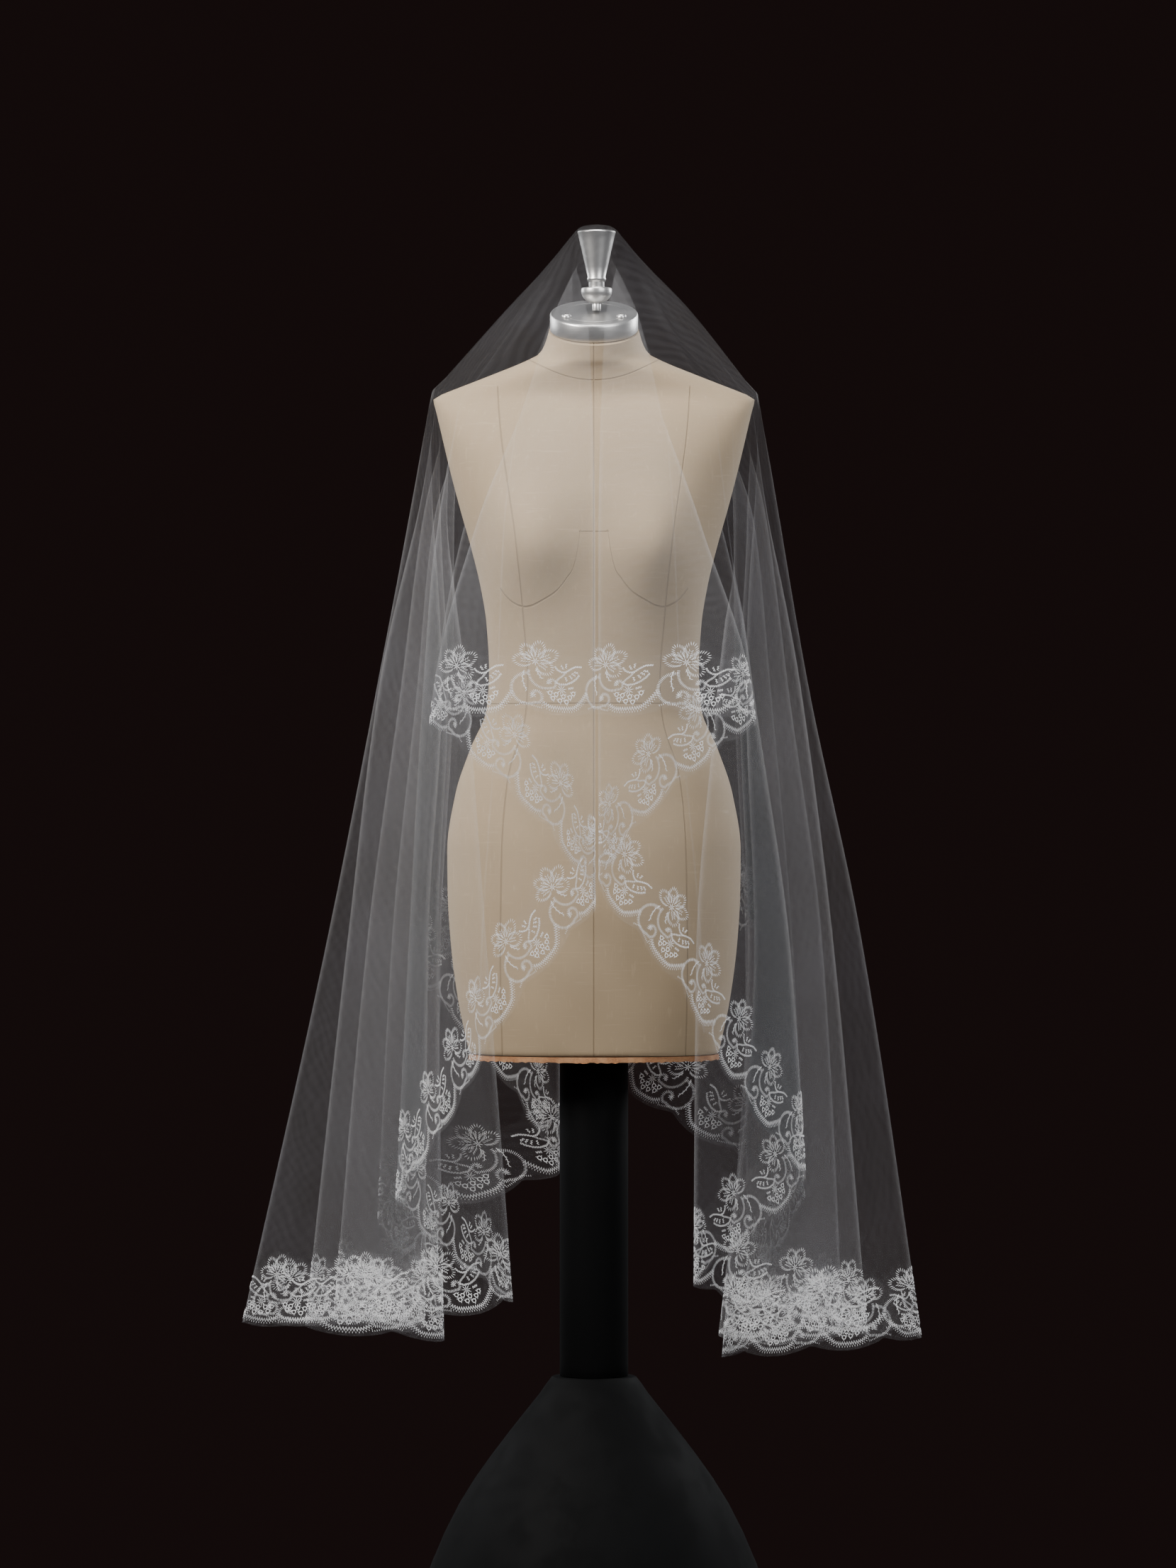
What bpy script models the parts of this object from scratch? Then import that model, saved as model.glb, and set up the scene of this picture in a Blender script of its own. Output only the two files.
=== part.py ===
"""A bridal veil with an embroidered edging, laid over the finial and shoulders of a dress form on a stand.

The front of the form faces -Y, +Z is up, and the origin is on the floor under the middle of the base.
The veil is one flat sheet. A point of it has a flat angle, 0 at the middle of the front edge and growing
towards the wearer's right hand at -X, and a distance from the crown, measured along the cloth. The drape
table says where each fold line hangs, and every other point lies between its two neighbouring lines.
"""

import math
from collections import namedtuple

import bmesh
import bpy
import numpy as np

# The flat sheet, in metres: its drops from the crown, its half width and its round corners.
FRONT_DROP = 0.628
BACK_DROP = 0.880
HALF_WIDTH = 1.385
OFF_CENTRE = 0.008
FRONT_CORNER = 0.600
BACK_CORNER = 0.700
CORNER_STEPS = 40

# The edging: its depth, the length of one motif and how deep its scallops are.
EDGING_DEPTH = 0.095
MOTIF_LENGTH = 0.088
SCALLOP_DEPTH = 0.010

# Walls and gaps.
WALL = 0.0012
SEAM_GAP = 0.0003
CLOTH_GAP = 0.0006

# The radius of a fold's turn, at the crown and from the shoulders down.
TURN_AT_CROWN = 0.0012
TURN_BELOW = 0.0042
TURN_FULL_FROM = 0.30

# A fold turns by at least this much, and right round once its two sides meet this sharply.
LEAST_TURN = math.radians(12.0)
BLUNT_BEND = 0.30
SHARP_BEND = 0.80

# How strongly the cloth between two folds keeps the direction in which it leaves each of them.
LEG_FULLNESS = 0.75

# The dress form.
FINIAL_TOP_Z = 1.700
FINIAL_X = 0.003
FINIAL_Y = -0.008
FINIAL_TOP_RADIUS = 0.0225
FINIAL_LOW_RADIUS = 0.0092
FINIAL_LOW_Z = 1.640
KNOB_RADIUS = 0.0180
KNOB_Z = 1.6240
KNOB_HEIGHT = 0.0190
STUD_RADIUS = 0.0050
PLATE_RADIUS = 0.0515
PLATE_TILT = math.radians(21.0)
PLATE_Z = 1.5943
PLATE_Y = -0.004
PLATE_BAND = 0.0220
PLATE_EDGE = 0.0030
SCREW_SPACING = 0.032
SCREW_FORWARD = 0.018
BOARD_THICKNESS = 0.0060
TORSO_BOTTOM_Z = 0.7370
COLUMN_RADIUS = 0.0400
BASE_TOP_Z = 0.3600
BASE_RADIUS = 0.2250

# Where the sheet's crown is, and how the cloth rounds over the finial: distance along it and radius.
CROWN_Z = 1.7075
CROWN_ROUND = (
    (0.0, 0.0),
    (0.010, 0.00996),
    (0.018, 0.01775),
    (0.024, 0.0228),
    (0.030, 0.0267),
    (0.052, 0.0405),
)

# The distances along the cloth at which the drape table gives each fold line's place.
LEVEL = {
    "neck": 0.15,
    "shoulder": 0.282,
    "bust": 0.42,
    "waist": 0.62,
    "hip": 0.92,
    "hem": 1.46,
}
# The cloth bends sharply over the tip of the shoulder, within this distance of that level.
SHOULDER_BEND = 0.014
DRAPE_STEP = 0.005
DRAPE_END = 1.50

# A row is a line down the cloth. At each level it says how far out from the middle and how far back from
# the column the line hangs, in millimetres. A fold turns the cloth round, and a swell only bends it.
Line = namedtuple("Line", "name angle fold neck shoulder bust waist hip hem")
FRONT_MIDDLE = Line(
    "front middle", 0.0, False, (0, -77), (0, -128), (0, -172), (0, -182), (0, -182), (0, -182)
)
BACK_MIDDLE = Line("back middle", 173.0, False, (0, 84), (0, 130), (0, 156), (0, 170), (0, 180), (0, 184))
LEFT = (
    Line(
        "panel edge", 18.5, True,
        (46, -75), (82, -123), (130, -163), (180, -172), (203, -172), (222, -172),
    ),
    Line("centre fold", 42.0, True, (9, -62), (5, -115), (3, -157), (3, -163), (2, -164), (2, -164)),
    Line(
        "chest swell", 53.0, False,
        (56, -56), (90, -104), (104, -149), (112, -154), (130, -150), (140, -140),
    ),
    Line("second edge", 63.5, True, (86, -38), (156, -76), (178, -96), (194, -90), (211, -80), (238, -74)),
    Line("inner fold", 75.0, True, (92, -28), (166, -54), (171, -72), (151, -92), (128, -104), (88, -98)),
    Line("side edge", 85.5, True, (98, -14), (183, -22), (204, -32), (246, -32), (283, -30), (342, -30)),
    Line("side tuck", 93.0, True, (102, -6), (191, -3), (190, -6), (182, -2), (198, 2), (203, 8)),
    Line("outline", 102.0, True, (103, 2), (191, 12), (212, 22), (249, 35), (307, 45), (424, 55)),
    Line("back tuck", 110.5, True, (98, 12), (180, 30), (184, 44), (176, 58), (188, 70), (180, 80)),
    Line("back side edge", 117.0, True, (93, 22), (171, 44), (198, 62), (224, 78), (264, 92), (312, 104)),
    Line("back inner fold", 123.5, True, (78, 27), (157, 59), (169, 77), (171, 93), (186, 108), (190, 120)),
    Line(
        "second back edge", 130.0, True,
        (70, 36), (144, 78), (186, 104), (206, 114), (236, 126), (262, 138),
    ),
    Line("back centre fold", 138.5, True, (28, 69), (38, 113), (44, 138), (45, 146), (45, 154), (45, 158)),
    Line(
        "back panel edge", 155.5, True,
        (48, 75), (96, 120), (150, 147), (186, 156), (210, 166), (222, 170),
    ),
)
RIGHT = (
    Line(
        "panel edge", 17.5, True,
        (50, -75), (76, -123), (119, -163), (177, -172), (200, -172), (220, -172),
    ),
    Line("centre fold", 40.5, True, (15, -62), (11, -115), (9, -157), (9, -163), (9, -164), (9, -164)),
    Line(
        "chest swell", 51.0, False,
        (54, -56), (84, -104), (92, -149), (100, -154), (124, -150), (136, -140),
    ),
    Line("second edge", 61.0, True, (84, -42), (140, -84), (155, -110), (182, -98), (224, -86), (256, -78)),
    Line("inner fold", 70.0, True, (88, -31), (160, -64), (164, -84), (146, -98), (122, -108), (118, -102)),
    Line("side edge", 81.0, True, (103, -14), (184, -22), (202, -32), (237, -32), (275, -30), (322, -30)),
    Line("side tuck", 89.5, True, (110, -6), (193, -3), (189, -6), (182, -2), (192, 2), (142, 8)),
    Line("outline", 98.0, True, (111, 2), (193, 12), (213, 22), (247, 35), (309, 45), (390, 55)),
    Line("back tuck", 108.5, True, (105, 12), (184, 30), (184, 44), (176, 58), (186, 70), (152, 80)),
    Line("back side edge", 116.5, True, (95, 22), (172, 44), (200, 62), (226, 78), (266, 92), (295, 104)),
    Line("back inner fold", 123.0, True, (78, 27), (157, 59), (169, 77), (171, 93), (184, 108), (186, 120)),
    Line(
        "second back edge", 134.0, True,
        (70, 36), (144, 78), (186, 104), (206, 114), (232, 126), (256, 138),
    ),
    Line("back centre fold", 146.0, True, (20, 68), (26, 113), (32, 138), (34, 146), (36, 154), (38, 158)),
    Line(
        "back panel edge", 168.0, True,
        (48, 75), (96, 120), (148, 147), (184, 156), (196, 166), (206, 170),
    ),
)

# Columns of the walls between two lines: turns in degrees round a fold, and shares of the way between them.
TURN_STEPS = (-78.0, 0.0, 78.0)
PANEL_STEPS = (0.16, 0.58)
COLUMNS_A_MOTIF = 4
CROWN_RINGS = (0.010, 0.018, 0.024, 0.032)
CROWN_EDGE = 0.046

# Rows of the tulle's walls: near the crown as shares of the whole drop, above and below the shoulder's tip as
# distances from the crown, with one more halfway between them, and from there on as shares of the rest.
HIGH_ROWS = (0.0, 0.025, 0.048, 0.072, 0.11)
SHOULDER_ROWS = (0.271, 0.294)
LOW_ROWS = (0.08, 0.19, 0.34, 0.53, 0.76)

# The stretches of the sheet: the first and last line of each, counted round from the front middle.
STRETCHES = (("front", 28, 32), ("left", 2, 13), ("back", 13, 17), ("right", 17, 28))

COLOUR = {
    "tulle": (0.86, 0.86, 0.86, 1.0),
    "lace": (0.92, 0.92, 0.93, 1.0),
    "canvas": (0.76, 0.70, 0.57, 1.0),
    "board": (0.42, 0.20, 0.09, 1.0),
    "steel": (0.62, 0.62, 0.63, 1.0),
    "black": (0.015, 0.015, 0.016, 1.0),
}


def smooth_steps(x, xs, ys):
    """Values at x of a smooth curve through the points xs, ys that never overshoots them."""
    xs, ys = np.asarray(xs, float), np.asarray(ys, float)
    h, d = np.diff(xs), np.diff(ys) / np.diff(xs)
    slope = np.zeros(len(xs))
    slope[0], slope[-1] = d[0], d[-1]
    for k in range(1, len(xs) - 1):
        if d[k - 1] * d[k] > 0:
            a, b = 2 * h[k] + h[k - 1], h[k] + 2 * h[k - 1]
            slope[k] = (a + b) / (a / d[k - 1] + b / d[k])
    x = np.clip(x, xs[0], xs[-1])
    k = np.clip(np.searchsorted(xs, x, side="right") - 1, 0, len(h) - 1)
    t = (x - xs[k]) / h[k]
    rise = ys[k] * (2 * t**3 - 3 * t**2 + 1) + ys[k + 1] * (3 * t**2 - 2 * t**3)
    return rise + h[k] * (slope[k] * (t**3 - 2 * t**2 + t) + slope[k + 1] * (t**3 - t**2))


def hem_outline():
    """The flat sheet's edge round its crown, as (length along it, x, y, outward x, outward y) points.

    It starts under the crown at the front edge, and goes round by the side of rising flat angles.
    """
    rows = []

    def corner(radius, x, y, start):
        for k in range(CORNER_STEPS + 1):
            a = start + math.pi / 2 * k / CORNER_STEPS
            rows.append((x + radius * math.sin(a), y + radius * math.cos(a), math.sin(a), math.cos(a)))

    left, right = HALF_WIDTH - OFF_CENTRE, HALF_WIDTH + OFF_CENTRE
    rows.append((0.0, FRONT_DROP, 0.0, 1.0))
    corner(FRONT_CORNER, left - FRONT_CORNER, FRONT_DROP - FRONT_CORNER, 0.0)
    corner(BACK_CORNER, left - BACK_CORNER, BACK_CORNER - BACK_DROP, math.pi / 2)
    rows.append((0.0, -BACK_DROP, 0.0, -1.0))
    corner(BACK_CORNER, BACK_CORNER - right, BACK_CORNER - BACK_DROP, math.pi)
    corner(FRONT_CORNER, FRONT_CORNER - right, FRONT_DROP - FRONT_CORNER, 3 * math.pi / 2)
    rows.append((0.0, FRONT_DROP, 0.0, 1.0))
    rows = np.array(rows)
    length = np.concatenate(([0.0], np.cumsum(np.hypot(*np.diff(rows[:, :2], axis=0).T))))
    return np.column_stack((length, rows))


HEM = hem_outline()
HEM_LENGTH = float(HEM[-1, 0])
MOTIFS = round(HEM_LENGTH / MOTIF_LENGTH)


def hem_at(angle, inset):
    """(distance from the crown, length along the hem) where a ray meets the edge set in by inset."""
    x, y = HEM[:, 1] - inset * HEM[:, 3], HEM[:, 2] - inset * HEM[:, 4]
    rays = np.degrees(np.unwrap(np.arctan2(x, y)))
    angle = np.asarray(angle, float) % 360.0
    k = np.clip(np.searchsorted(rays, angle, side="right") - 1, 0, len(rays) - 2)
    across, ahead = np.cos(np.radians(angle)), -np.sin(np.radians(angle))
    start = x[k] * across + y[k] * ahead
    end = x[k + 1] * across + y[k + 1] * ahead
    along = np.clip(start / np.where(np.abs(start - end) < 1e-12, 1.0, start - end), 0.0, 1.0)
    reach = np.hypot(x[k] + along * (x[k + 1] - x[k]), y[k] + along * (y[k + 1] - y[k]))
    return reach, HEM[k, 0] + along * (HEM[k + 1, 0] - HEM[k, 0])


def all_lines():
    """Every line of the drape in order round the sheet, its angle, side and row, starting at the front."""
    lines = [(0.0, -1.0, FRONT_MIDDLE)]
    lines += [(row.angle, -1.0, row) for row in LEFT]
    lines += [(BACK_MIDDLE.angle, -1.0, BACK_MIDDLE)]
    lines += [(360.0 - row.angle, 1.0, row) for row in reversed(RIGHT)]
    return lines


class Drape:
    """Where every point of the sheet hangs."""

    def __init__(self):
        lines = all_lines()
        self.count = len(lines)
        self.angle = np.array([a for a, _, _ in lines])
        self.fold = np.array([row.fold for _, _, row in lines])
        self.s = np.arange(0.0, DRAPE_END + DRAPE_STEP / 2, DRAPE_STEP)
        places = [self.hang(angle, side, row) for angle, side, row in lines]
        self.place = np.array(places)
        self.turn_radius = np.interp(self.s, (0.03, TURN_FULL_FROM), (TURN_AT_CROWN, TURN_BELOW))
        self.find_turns()

    def hang(self, angle, side, row):
        """One line's places: x and y from the table, and z from the cloth's own length."""
        a = math.radians(angle)
        knots = [0.0] + [s for s, _ in CROWN_ROUND[1:]] + list(LEVEL.values())
        xs = [FINIAL_X - r * math.sin(a) for _, r in CROWN_ROUND]
        ys = [FINIAL_Y - r * math.cos(a) for _, r in CROWN_ROUND]
        for name in LEVEL:
            out, back = getattr(row, name)
            xs.append(side * out / 1000)
            ys.append(back / 1000)
        bend = (LEVEL["shoulder"] - SHOULDER_BEND, LEVEL["shoulder"] + SHOULDER_BEND)
        close = np.sort(np.concatenate((knots, bend)))
        x = smooth_steps(self.s, close, np.interp(close, knots, xs))
        y = smooth_steps(self.s, close, np.interp(close, knots, ys))
        level = np.minimum(np.hypot(np.diff(x), np.diff(y)) / DRAPE_STEP, 0.995)
        fall = np.sqrt(1.0 - level**2) * DRAPE_STEP
        z = CROWN_Z - np.concatenate(([0.0], np.cumsum(fall)))
        return np.stack((x, y, z), axis=1)

    def find_turns(self):
        """The direction each fold's edge points in, the way across it, and how far round it turns."""
        plan = self.place[:, :, :2]
        into = plan - np.roll(plan, 1, axis=0)
        out = np.roll(plan, -1, axis=0) - plan
        into /= np.maximum(np.linalg.norm(into, axis=2, keepdims=True), 1e-6)
        out /= np.maximum(np.linalg.norm(out, axis=2, keepdims=True), 1e-6)
        edge = into - out
        bend = np.linalg.norm(edge, axis=2, keepdims=True)
        across = into + out
        across /= np.maximum(np.linalg.norm(across, axis=2, keepdims=True), 1e-6)
        side = np.stack((-across[:, :, 1], across[:, :, 0]), axis=2)
        side *= np.where((side * edge).sum(axis=2, keepdims=True) < 0, -1.0, 1.0)
        self.edge, self.across = side, across
        sharp = np.clip((bend[:, :, 0] / 2 - BLUNT_BEND) / (SHARP_BEND - BLUNT_BEND), 0.0, 1.0)
        sharp = sharp * sharp * (3 - 2 * sharp)
        self.turn = np.where(self.fold[:, None], LEAST_TURN + (math.pi / 2 - LEAST_TURN) * sharp, 0.0)

    def read(self, table, line, s):
        """A table's values on a line at distance s."""
        k = np.clip((s / DRAPE_STEP).astype(int), 0, len(self.s) - 2)
        t = s / DRAPE_STEP - k
        line = line % self.count
        if table.ndim == 3:
            t = t[..., None]
        return table[line, k] * (1 - t) + table[line, k + 1] * t

    def half_turn(self, line, s):
        """Half the flat angle that a fold's turn takes up, in degrees."""
        radius = np.interp(s, self.s, self.turn_radius)
        wide = np.degrees(radius * self.read(self.turn, line, s) / np.maximum(s, 0.01))
        line = line % self.count
        before = (self.angle[line] - self.angle[line - 1]) % 360
        after = (self.angle[(line + 1) % self.count] - self.angle[line]) % 360
        return np.minimum(wide, 0.42 * np.minimum(before, after))

    def on_turn(self, line, share, s):
        """A point on a fold's turn, share from -1 to 1 round it."""
        radius = np.interp(s, self.s, self.turn_radius)
        full = self.read(self.turn, line, s)
        a = share * full
        point = self.read(self.place, line, s).copy()
        across = (radius * np.sin(a))[..., None] * self.read(self.across, line, s)
        edge = (radius * (np.cos(a) - np.cos(full)))[..., None] * self.read(self.edge, line, s)
        point[..., :2] += across + edge
        return point

    def leaving(self, line, share, s):
        """The plan direction of the cloth where it leaves a turn, share 1, or comes to one, share -1."""
        a = share * self.read(self.turn, line, s)
        across = self.read(self.across, line, s)
        edge = self.read(self.edge, line, s)
        return np.cos(a)[..., None] * across - np.sin(a)[..., None] * edge

    def at(self, angle, s):
        """The place of each point of the sheet, from its flat angle in degrees and distance."""
        angle = np.asarray(angle, float) % 360.0
        s = np.broadcast_to(np.asarray(s, float), angle.shape)
        line = np.searchsorted(self.angle, angle, side="right") - 1
        after = line + 1
        span = (self.angle[after % self.count] - self.angle[line]) % 360.0
        gone = angle - self.angle[line]
        first, last = self.half_turn(line, s), self.half_turn(after, s)
        share = gone / np.maximum(first, 1e-9)
        leaving = self.on_turn(line, np.minimum(share, 1.0), s)
        back_share = (gone - span) / np.maximum(last, 1e-9)
        coming = self.on_turn(after, np.maximum(back_share, -1.0), s)
        t = np.clip((gone - first) / np.maximum(span - first - last, 1e-9), 0.0, 1.0)[..., None]
        start, end = self.on_turn(line, np.ones_like(s), s), self.on_turn(after, -np.ones_like(s), s)
        chord = np.linalg.norm((end - start)[..., :2], axis=-1, keepdims=True)
        panel = start * (1 - t) + end * t
        flow = (t**3 - 2 * t**2 + t) * self.leaving(line, np.ones_like(s), s)
        flow += (t**3 - t**2) * self.leaving(after, -np.ones_like(s), s)
        ease = t * t * (3 - 2 * t)
        panel[..., :2] = (start * (1 - ease) + end * ease)[..., :2] + LEG_FULLNESS * chord * flow
        result = np.where((share < 1.0)[..., None], leaving, panel)
        return np.where((back_share > -1.0)[..., None], coming, result)

    def angle_of(self, column, s):
        """The flat angle at distance s of a column, which is (line, kind, share)."""
        line, kind, share = column
        lines = np.full(np.shape(s), line)
        if kind == "turn":
            return self.angle[line % self.count] + share * self.half_turn(lines, s)
        start = self.angle[line % self.count]
        first = start + self.half_turn(lines, s)
        span = (self.angle[(line + 1) % self.count] - start) % 360.0
        last = start + span - self.half_turn(lines + 1, s)
        return first + share * (last - first)


DRAPE = Drape()


def material(name, colour, roughness, metallic=0.0):
    """A Principled material in one plain finish."""
    finish = bpy.data.materials.new(name)
    finish.use_nodes = True
    shader = finish.node_tree.nodes["Principled BSDF"]
    shader.inputs["Base Color"].default_value = colour
    shader.inputs["Roughness"].default_value = roughness
    shader.inputs["Metallic"].default_value = metallic
    return finish


def wall_object(name, points, faces, finish, home):
    """A sheet of the given points and faces with a wall's thickness, as its own object."""
    mesh = bpy.data.meshes.new(name)
    mesh.from_pydata([tuple(p) for p in points], [], faces)
    mesh.validate()
    mesh.shade_smooth()
    piece = bpy.data.objects.new(name, mesh)
    home.objects.link(piece)
    mesh.materials.append(finish)
    thick = piece.modifiers.new("wall", "SOLIDIFY")
    thick.thickness = WALL
    thick.offset = 0.0
    thick.use_even_offset = True
    thick.use_quality_normals = True
    return piece


def tulle_columns(first, last):
    """A stretch's columns, from just past its first line to just past its last, each (line, kind, share)."""
    columns = [(first, "panel", PANEL_STEPS[0])]
    for line in range(first, last):
        columns += [(line, "panel", share) for share in PANEL_STEPS[1:]]
        after = line + 1
        if DRAPE.fold[after % DRAPE.count]:
            columns += [(after, "turn", step / 90.0) for step in TURN_STEPS]
        else:
            columns.append((after, "turn", 0.0))
        columns.append((after, "panel", PANEL_STEPS[0]))
    return columns


def ray_end(column, inset, nudge=0.0):
    """(flat angle, distance, length along the hem) where a column meets the edge set in by inset."""
    s = np.array([1.0])
    for _ in range(8):
        angle = DRAPE.angle_of(column, s) + np.degrees(nudge / s)
        s, length = hem_at(angle, inset)
    return float(angle[0]), float(s[0]), float(length[0])


def edging_columns(columns):
    """The columns with more set between them, a few to each motif, and the place of each first one."""
    dense, marks = [], []
    for here, after in zip(columns, columns[1:]):
        marks.append(len(dense))
        gap = (ray_end(after, 0.0)[2] - ray_end(here, 0.0)[2]) % HEM_LENGTH
        count = max(1, round(gap * COLUMNS_A_MOTIF / MOTIF_LENGTH))
        line, kind, share = here
        last = after[2] if after[:2] == here[:2] else 1.0
        if kind == "turn" and after[1] == "panel":
            kind, share, last = "panel", 0.0, after[2]
        dense.append(here)
        dense += [(line, kind, share + (last - share) * k / count) for k in range(1, count)]
    marks.append(len(dense))
    dense.append(columns[-1])
    return dense, marks


def edge_nudge(k, count):
    """How far a stretch's first and last columns are moved in, so that stretches don't touch."""
    return CLOTH_GAP / 2 if k == 0 else -CLOTH_GAP / 2 if k == count - 1 else 0.0


def scallop(length):
    """How far the edging's outer edge is set in at a length along the hem."""
    round_motif = abs(math.sin(math.pi * length * MOTIFS / HEM_LENGTH))
    return SCALLOP_DEPTH * (1.0 - round_motif**0.8)


def seam_row(dense, inset):
    """The points of a stretch where its tulle and its edging meet, for all the edging's columns."""
    ends = [ray_end(c, inset, edge_nudge(k, len(dense))) for k, c in enumerate(dense)]
    return DRAPE.at(np.array([a for a, _, _ in ends]), np.array([s for _, s, _ in ends]))


def row_distances(end):
    """How far from the crown each of a column's points lies, from its top to the last one above its end."""
    top = CROWN_EDGE + CLOTH_GAP / 2
    high = [top + share * (end - top) for share in HIGH_ROWS]
    halfway = (high[-1] + SHOULDER_ROWS[0]) / 2
    low = [SHOULDER_ROWS[-1] + share * (end - SHOULDER_ROWS[-1]) for share in LOW_ROWS]
    return np.array([*high, halfway, *SHOULDER_ROWS, *low])


def tulle_stretch(name, first, last, finish, home):
    """One stretch of the tulle, from the crown's edge down to the edging."""
    columns = tulle_columns(first, last)
    dense, marks = edging_columns(columns)
    places = []
    for k, column in enumerate(columns):
        s = row_distances(ray_end(column, EDGING_DEPTH)[1])
        nudge = np.degrees(edge_nudge(k, len(columns)) / s)
        places.append(DRAPE.at(DRAPE.angle_of(column, s) + nudge, s))
    places = np.array(places).transpose(1, 0, 2)
    rows = np.arange(places[..., 0].size).reshape(places.shape[:2]).tolist()
    seam = list(range(places[..., 0].size, places[..., 0].size + len(dense)))
    points = [*places.reshape(-1, 3), *seam_row(dense, EDGING_DEPTH + CLOTH_GAP / 2)]
    faces = []
    for upper, lower in zip(rows, rows[1:]):
        faces += [(upper[k], upper[k + 1], lower[k + 1], lower[k]) for k in range(len(columns) - 1)]
    upper = rows[-1]
    for k in range(len(columns) - 1):
        below = seam[marks[k]:marks[k + 1] + 1]
        faces.append((upper[k], upper[k + 1], *reversed(below)))
    return wall_object(name, points, faces, finish, home)


def edging_stretch(name, first, last, finish, home):
    """One stretch of the embroidered edging, from its seam to its scalloped edge."""
    dense, _ = edging_columns(tulle_columns(first, last))
    count = len(dense)
    inner = seam_row(dense, EDGING_DEPTH - CLOTH_GAP / 2)
    outer = []
    for k, column in enumerate(dense):
        length = ray_end(column, 0.0)[2]
        angle, s, _ = ray_end(column, scallop(length), edge_nudge(k, count))
        outer.append(DRAPE.at(np.array([angle]), np.array([s]))[0])
    points = list(inner) + outer
    faces = [(k, k + 1, count + k + 1, count + k) for k in range(count - 1)]
    return wall_object(name, points, faces, finish, home)


def crown(finish, home):
    """The round of tulle that lies over the finial, out to the top of the stretches."""
    coarse = [(line, "turn", 0.0) for line in range(DRAPE.count)]
    columns, marks = [], []
    for line in range(DRAPE.count):
        marks.append(len(columns))
        columns.append((line, "turn", 0.0))
        if DRAPE.fold[line]:
            columns.append((line, "turn", TURN_STEPS[-1] / 90.0))
        columns += [(line, "panel", share) for share in PANEL_STEPS]
        if DRAPE.fold[(line + 1) % DRAPE.count]:
            columns.append((line + 1, "turn", TURN_STEPS[0] / 90.0))
    points = [DRAPE.at(np.array([0.0]), np.array([0.0]))[0]]
    rings = []
    for s in CROWN_RINGS:
        rings.append(list(range(len(points), len(points) + len(coarse))))
        reach = np.full(len(coarse), s)
        points += list(DRAPE.at(DRAPE.angle[[line for line, _, _ in coarse]], reach))
    edge = np.array([CROWN_EDGE - CLOTH_GAP / 2])
    rim = list(range(len(points), len(points) + len(columns)))
    points += [DRAPE.at(DRAPE.angle_of(column, edge), edge)[0] for column in columns]
    count = len(coarse)
    faces = [(0, rings[0][(k + 1) % count], rings[0][k]) for k in range(count)]
    for upper, lower in zip(rings, rings[1:]):
        for k in range(count):
            after = (k + 1) % count
            faces.append((upper[k], upper[after], lower[after], lower[k]))
    for k in range(count):
        after = (k + 1) % count
        stop = marks[after] if after else len(rim)
        below = rim[marks[k]:stop] + [rim[marks[after]]]
        faces.append((rings[-1][k], rings[-1][after], *reversed(below)))
    return wall_object("tulle_crown", points, faces, finish, home)


def turned(name, profile, finish, home):
    """A solid turned about its Z axis from a profile of (radius, height), top to bottom."""
    mesh = bpy.data.meshes.new(name)
    mesh.from_pydata([(r, 0.0, z) for r, z in profile], [(k, k + 1) for k in range(len(profile) - 1)], [])
    mesh.materials.append(finish)
    piece = bpy.data.objects.new(name, mesh)
    home.objects.link(piece)
    lathe = piece.modifiers.new("lathe", "SCREW")
    lathe.steps = STEPS[name]
    lathe.render_steps = STEPS[name]
    lathe.use_merge_vertices = True
    lathe.merge_threshold = 0.00005
    lathe.use_smooth_shade = True
    return piece


# How many steps each turned piece has round it.
STEPS = {
    "neck_plate": 36,
    "plate_screw_left": 12,
    "plate_screw_right": 12,
    "stud": 16,
    "ball_knob": 24,
    "finial": 28,
    "column": 24,
    "base": 36,
}

# The screws' heads, the bowl of the knob and the bell of the base, as radius and height.
SCREW_HEAD = ((0.0, 0.0042), (0.0030, 0.0038), (0.0052, 0.0020), (0.0058, SEAM_GAP), (0.0, SEAM_GAP))
BOWL_STEPS = (0, 18, 36, 54, 72)
BOWL_BAND = 0.004
BELL = ((0.080, 0.319), (0.120, 0.268), (0.158, 0.210), (0.190, 0.140), (0.212, 0.070))
EDGE_BREAK = 0.0012
LIP_OUT = 0.0020
LIP_HEIGHT = 0.006

NECK_TOP_Z = PLATE_Z - PLATE_BAND / 2 / math.cos(PLATE_TILT) - SEAM_GAP / math.cos(PLATE_TILT)

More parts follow.
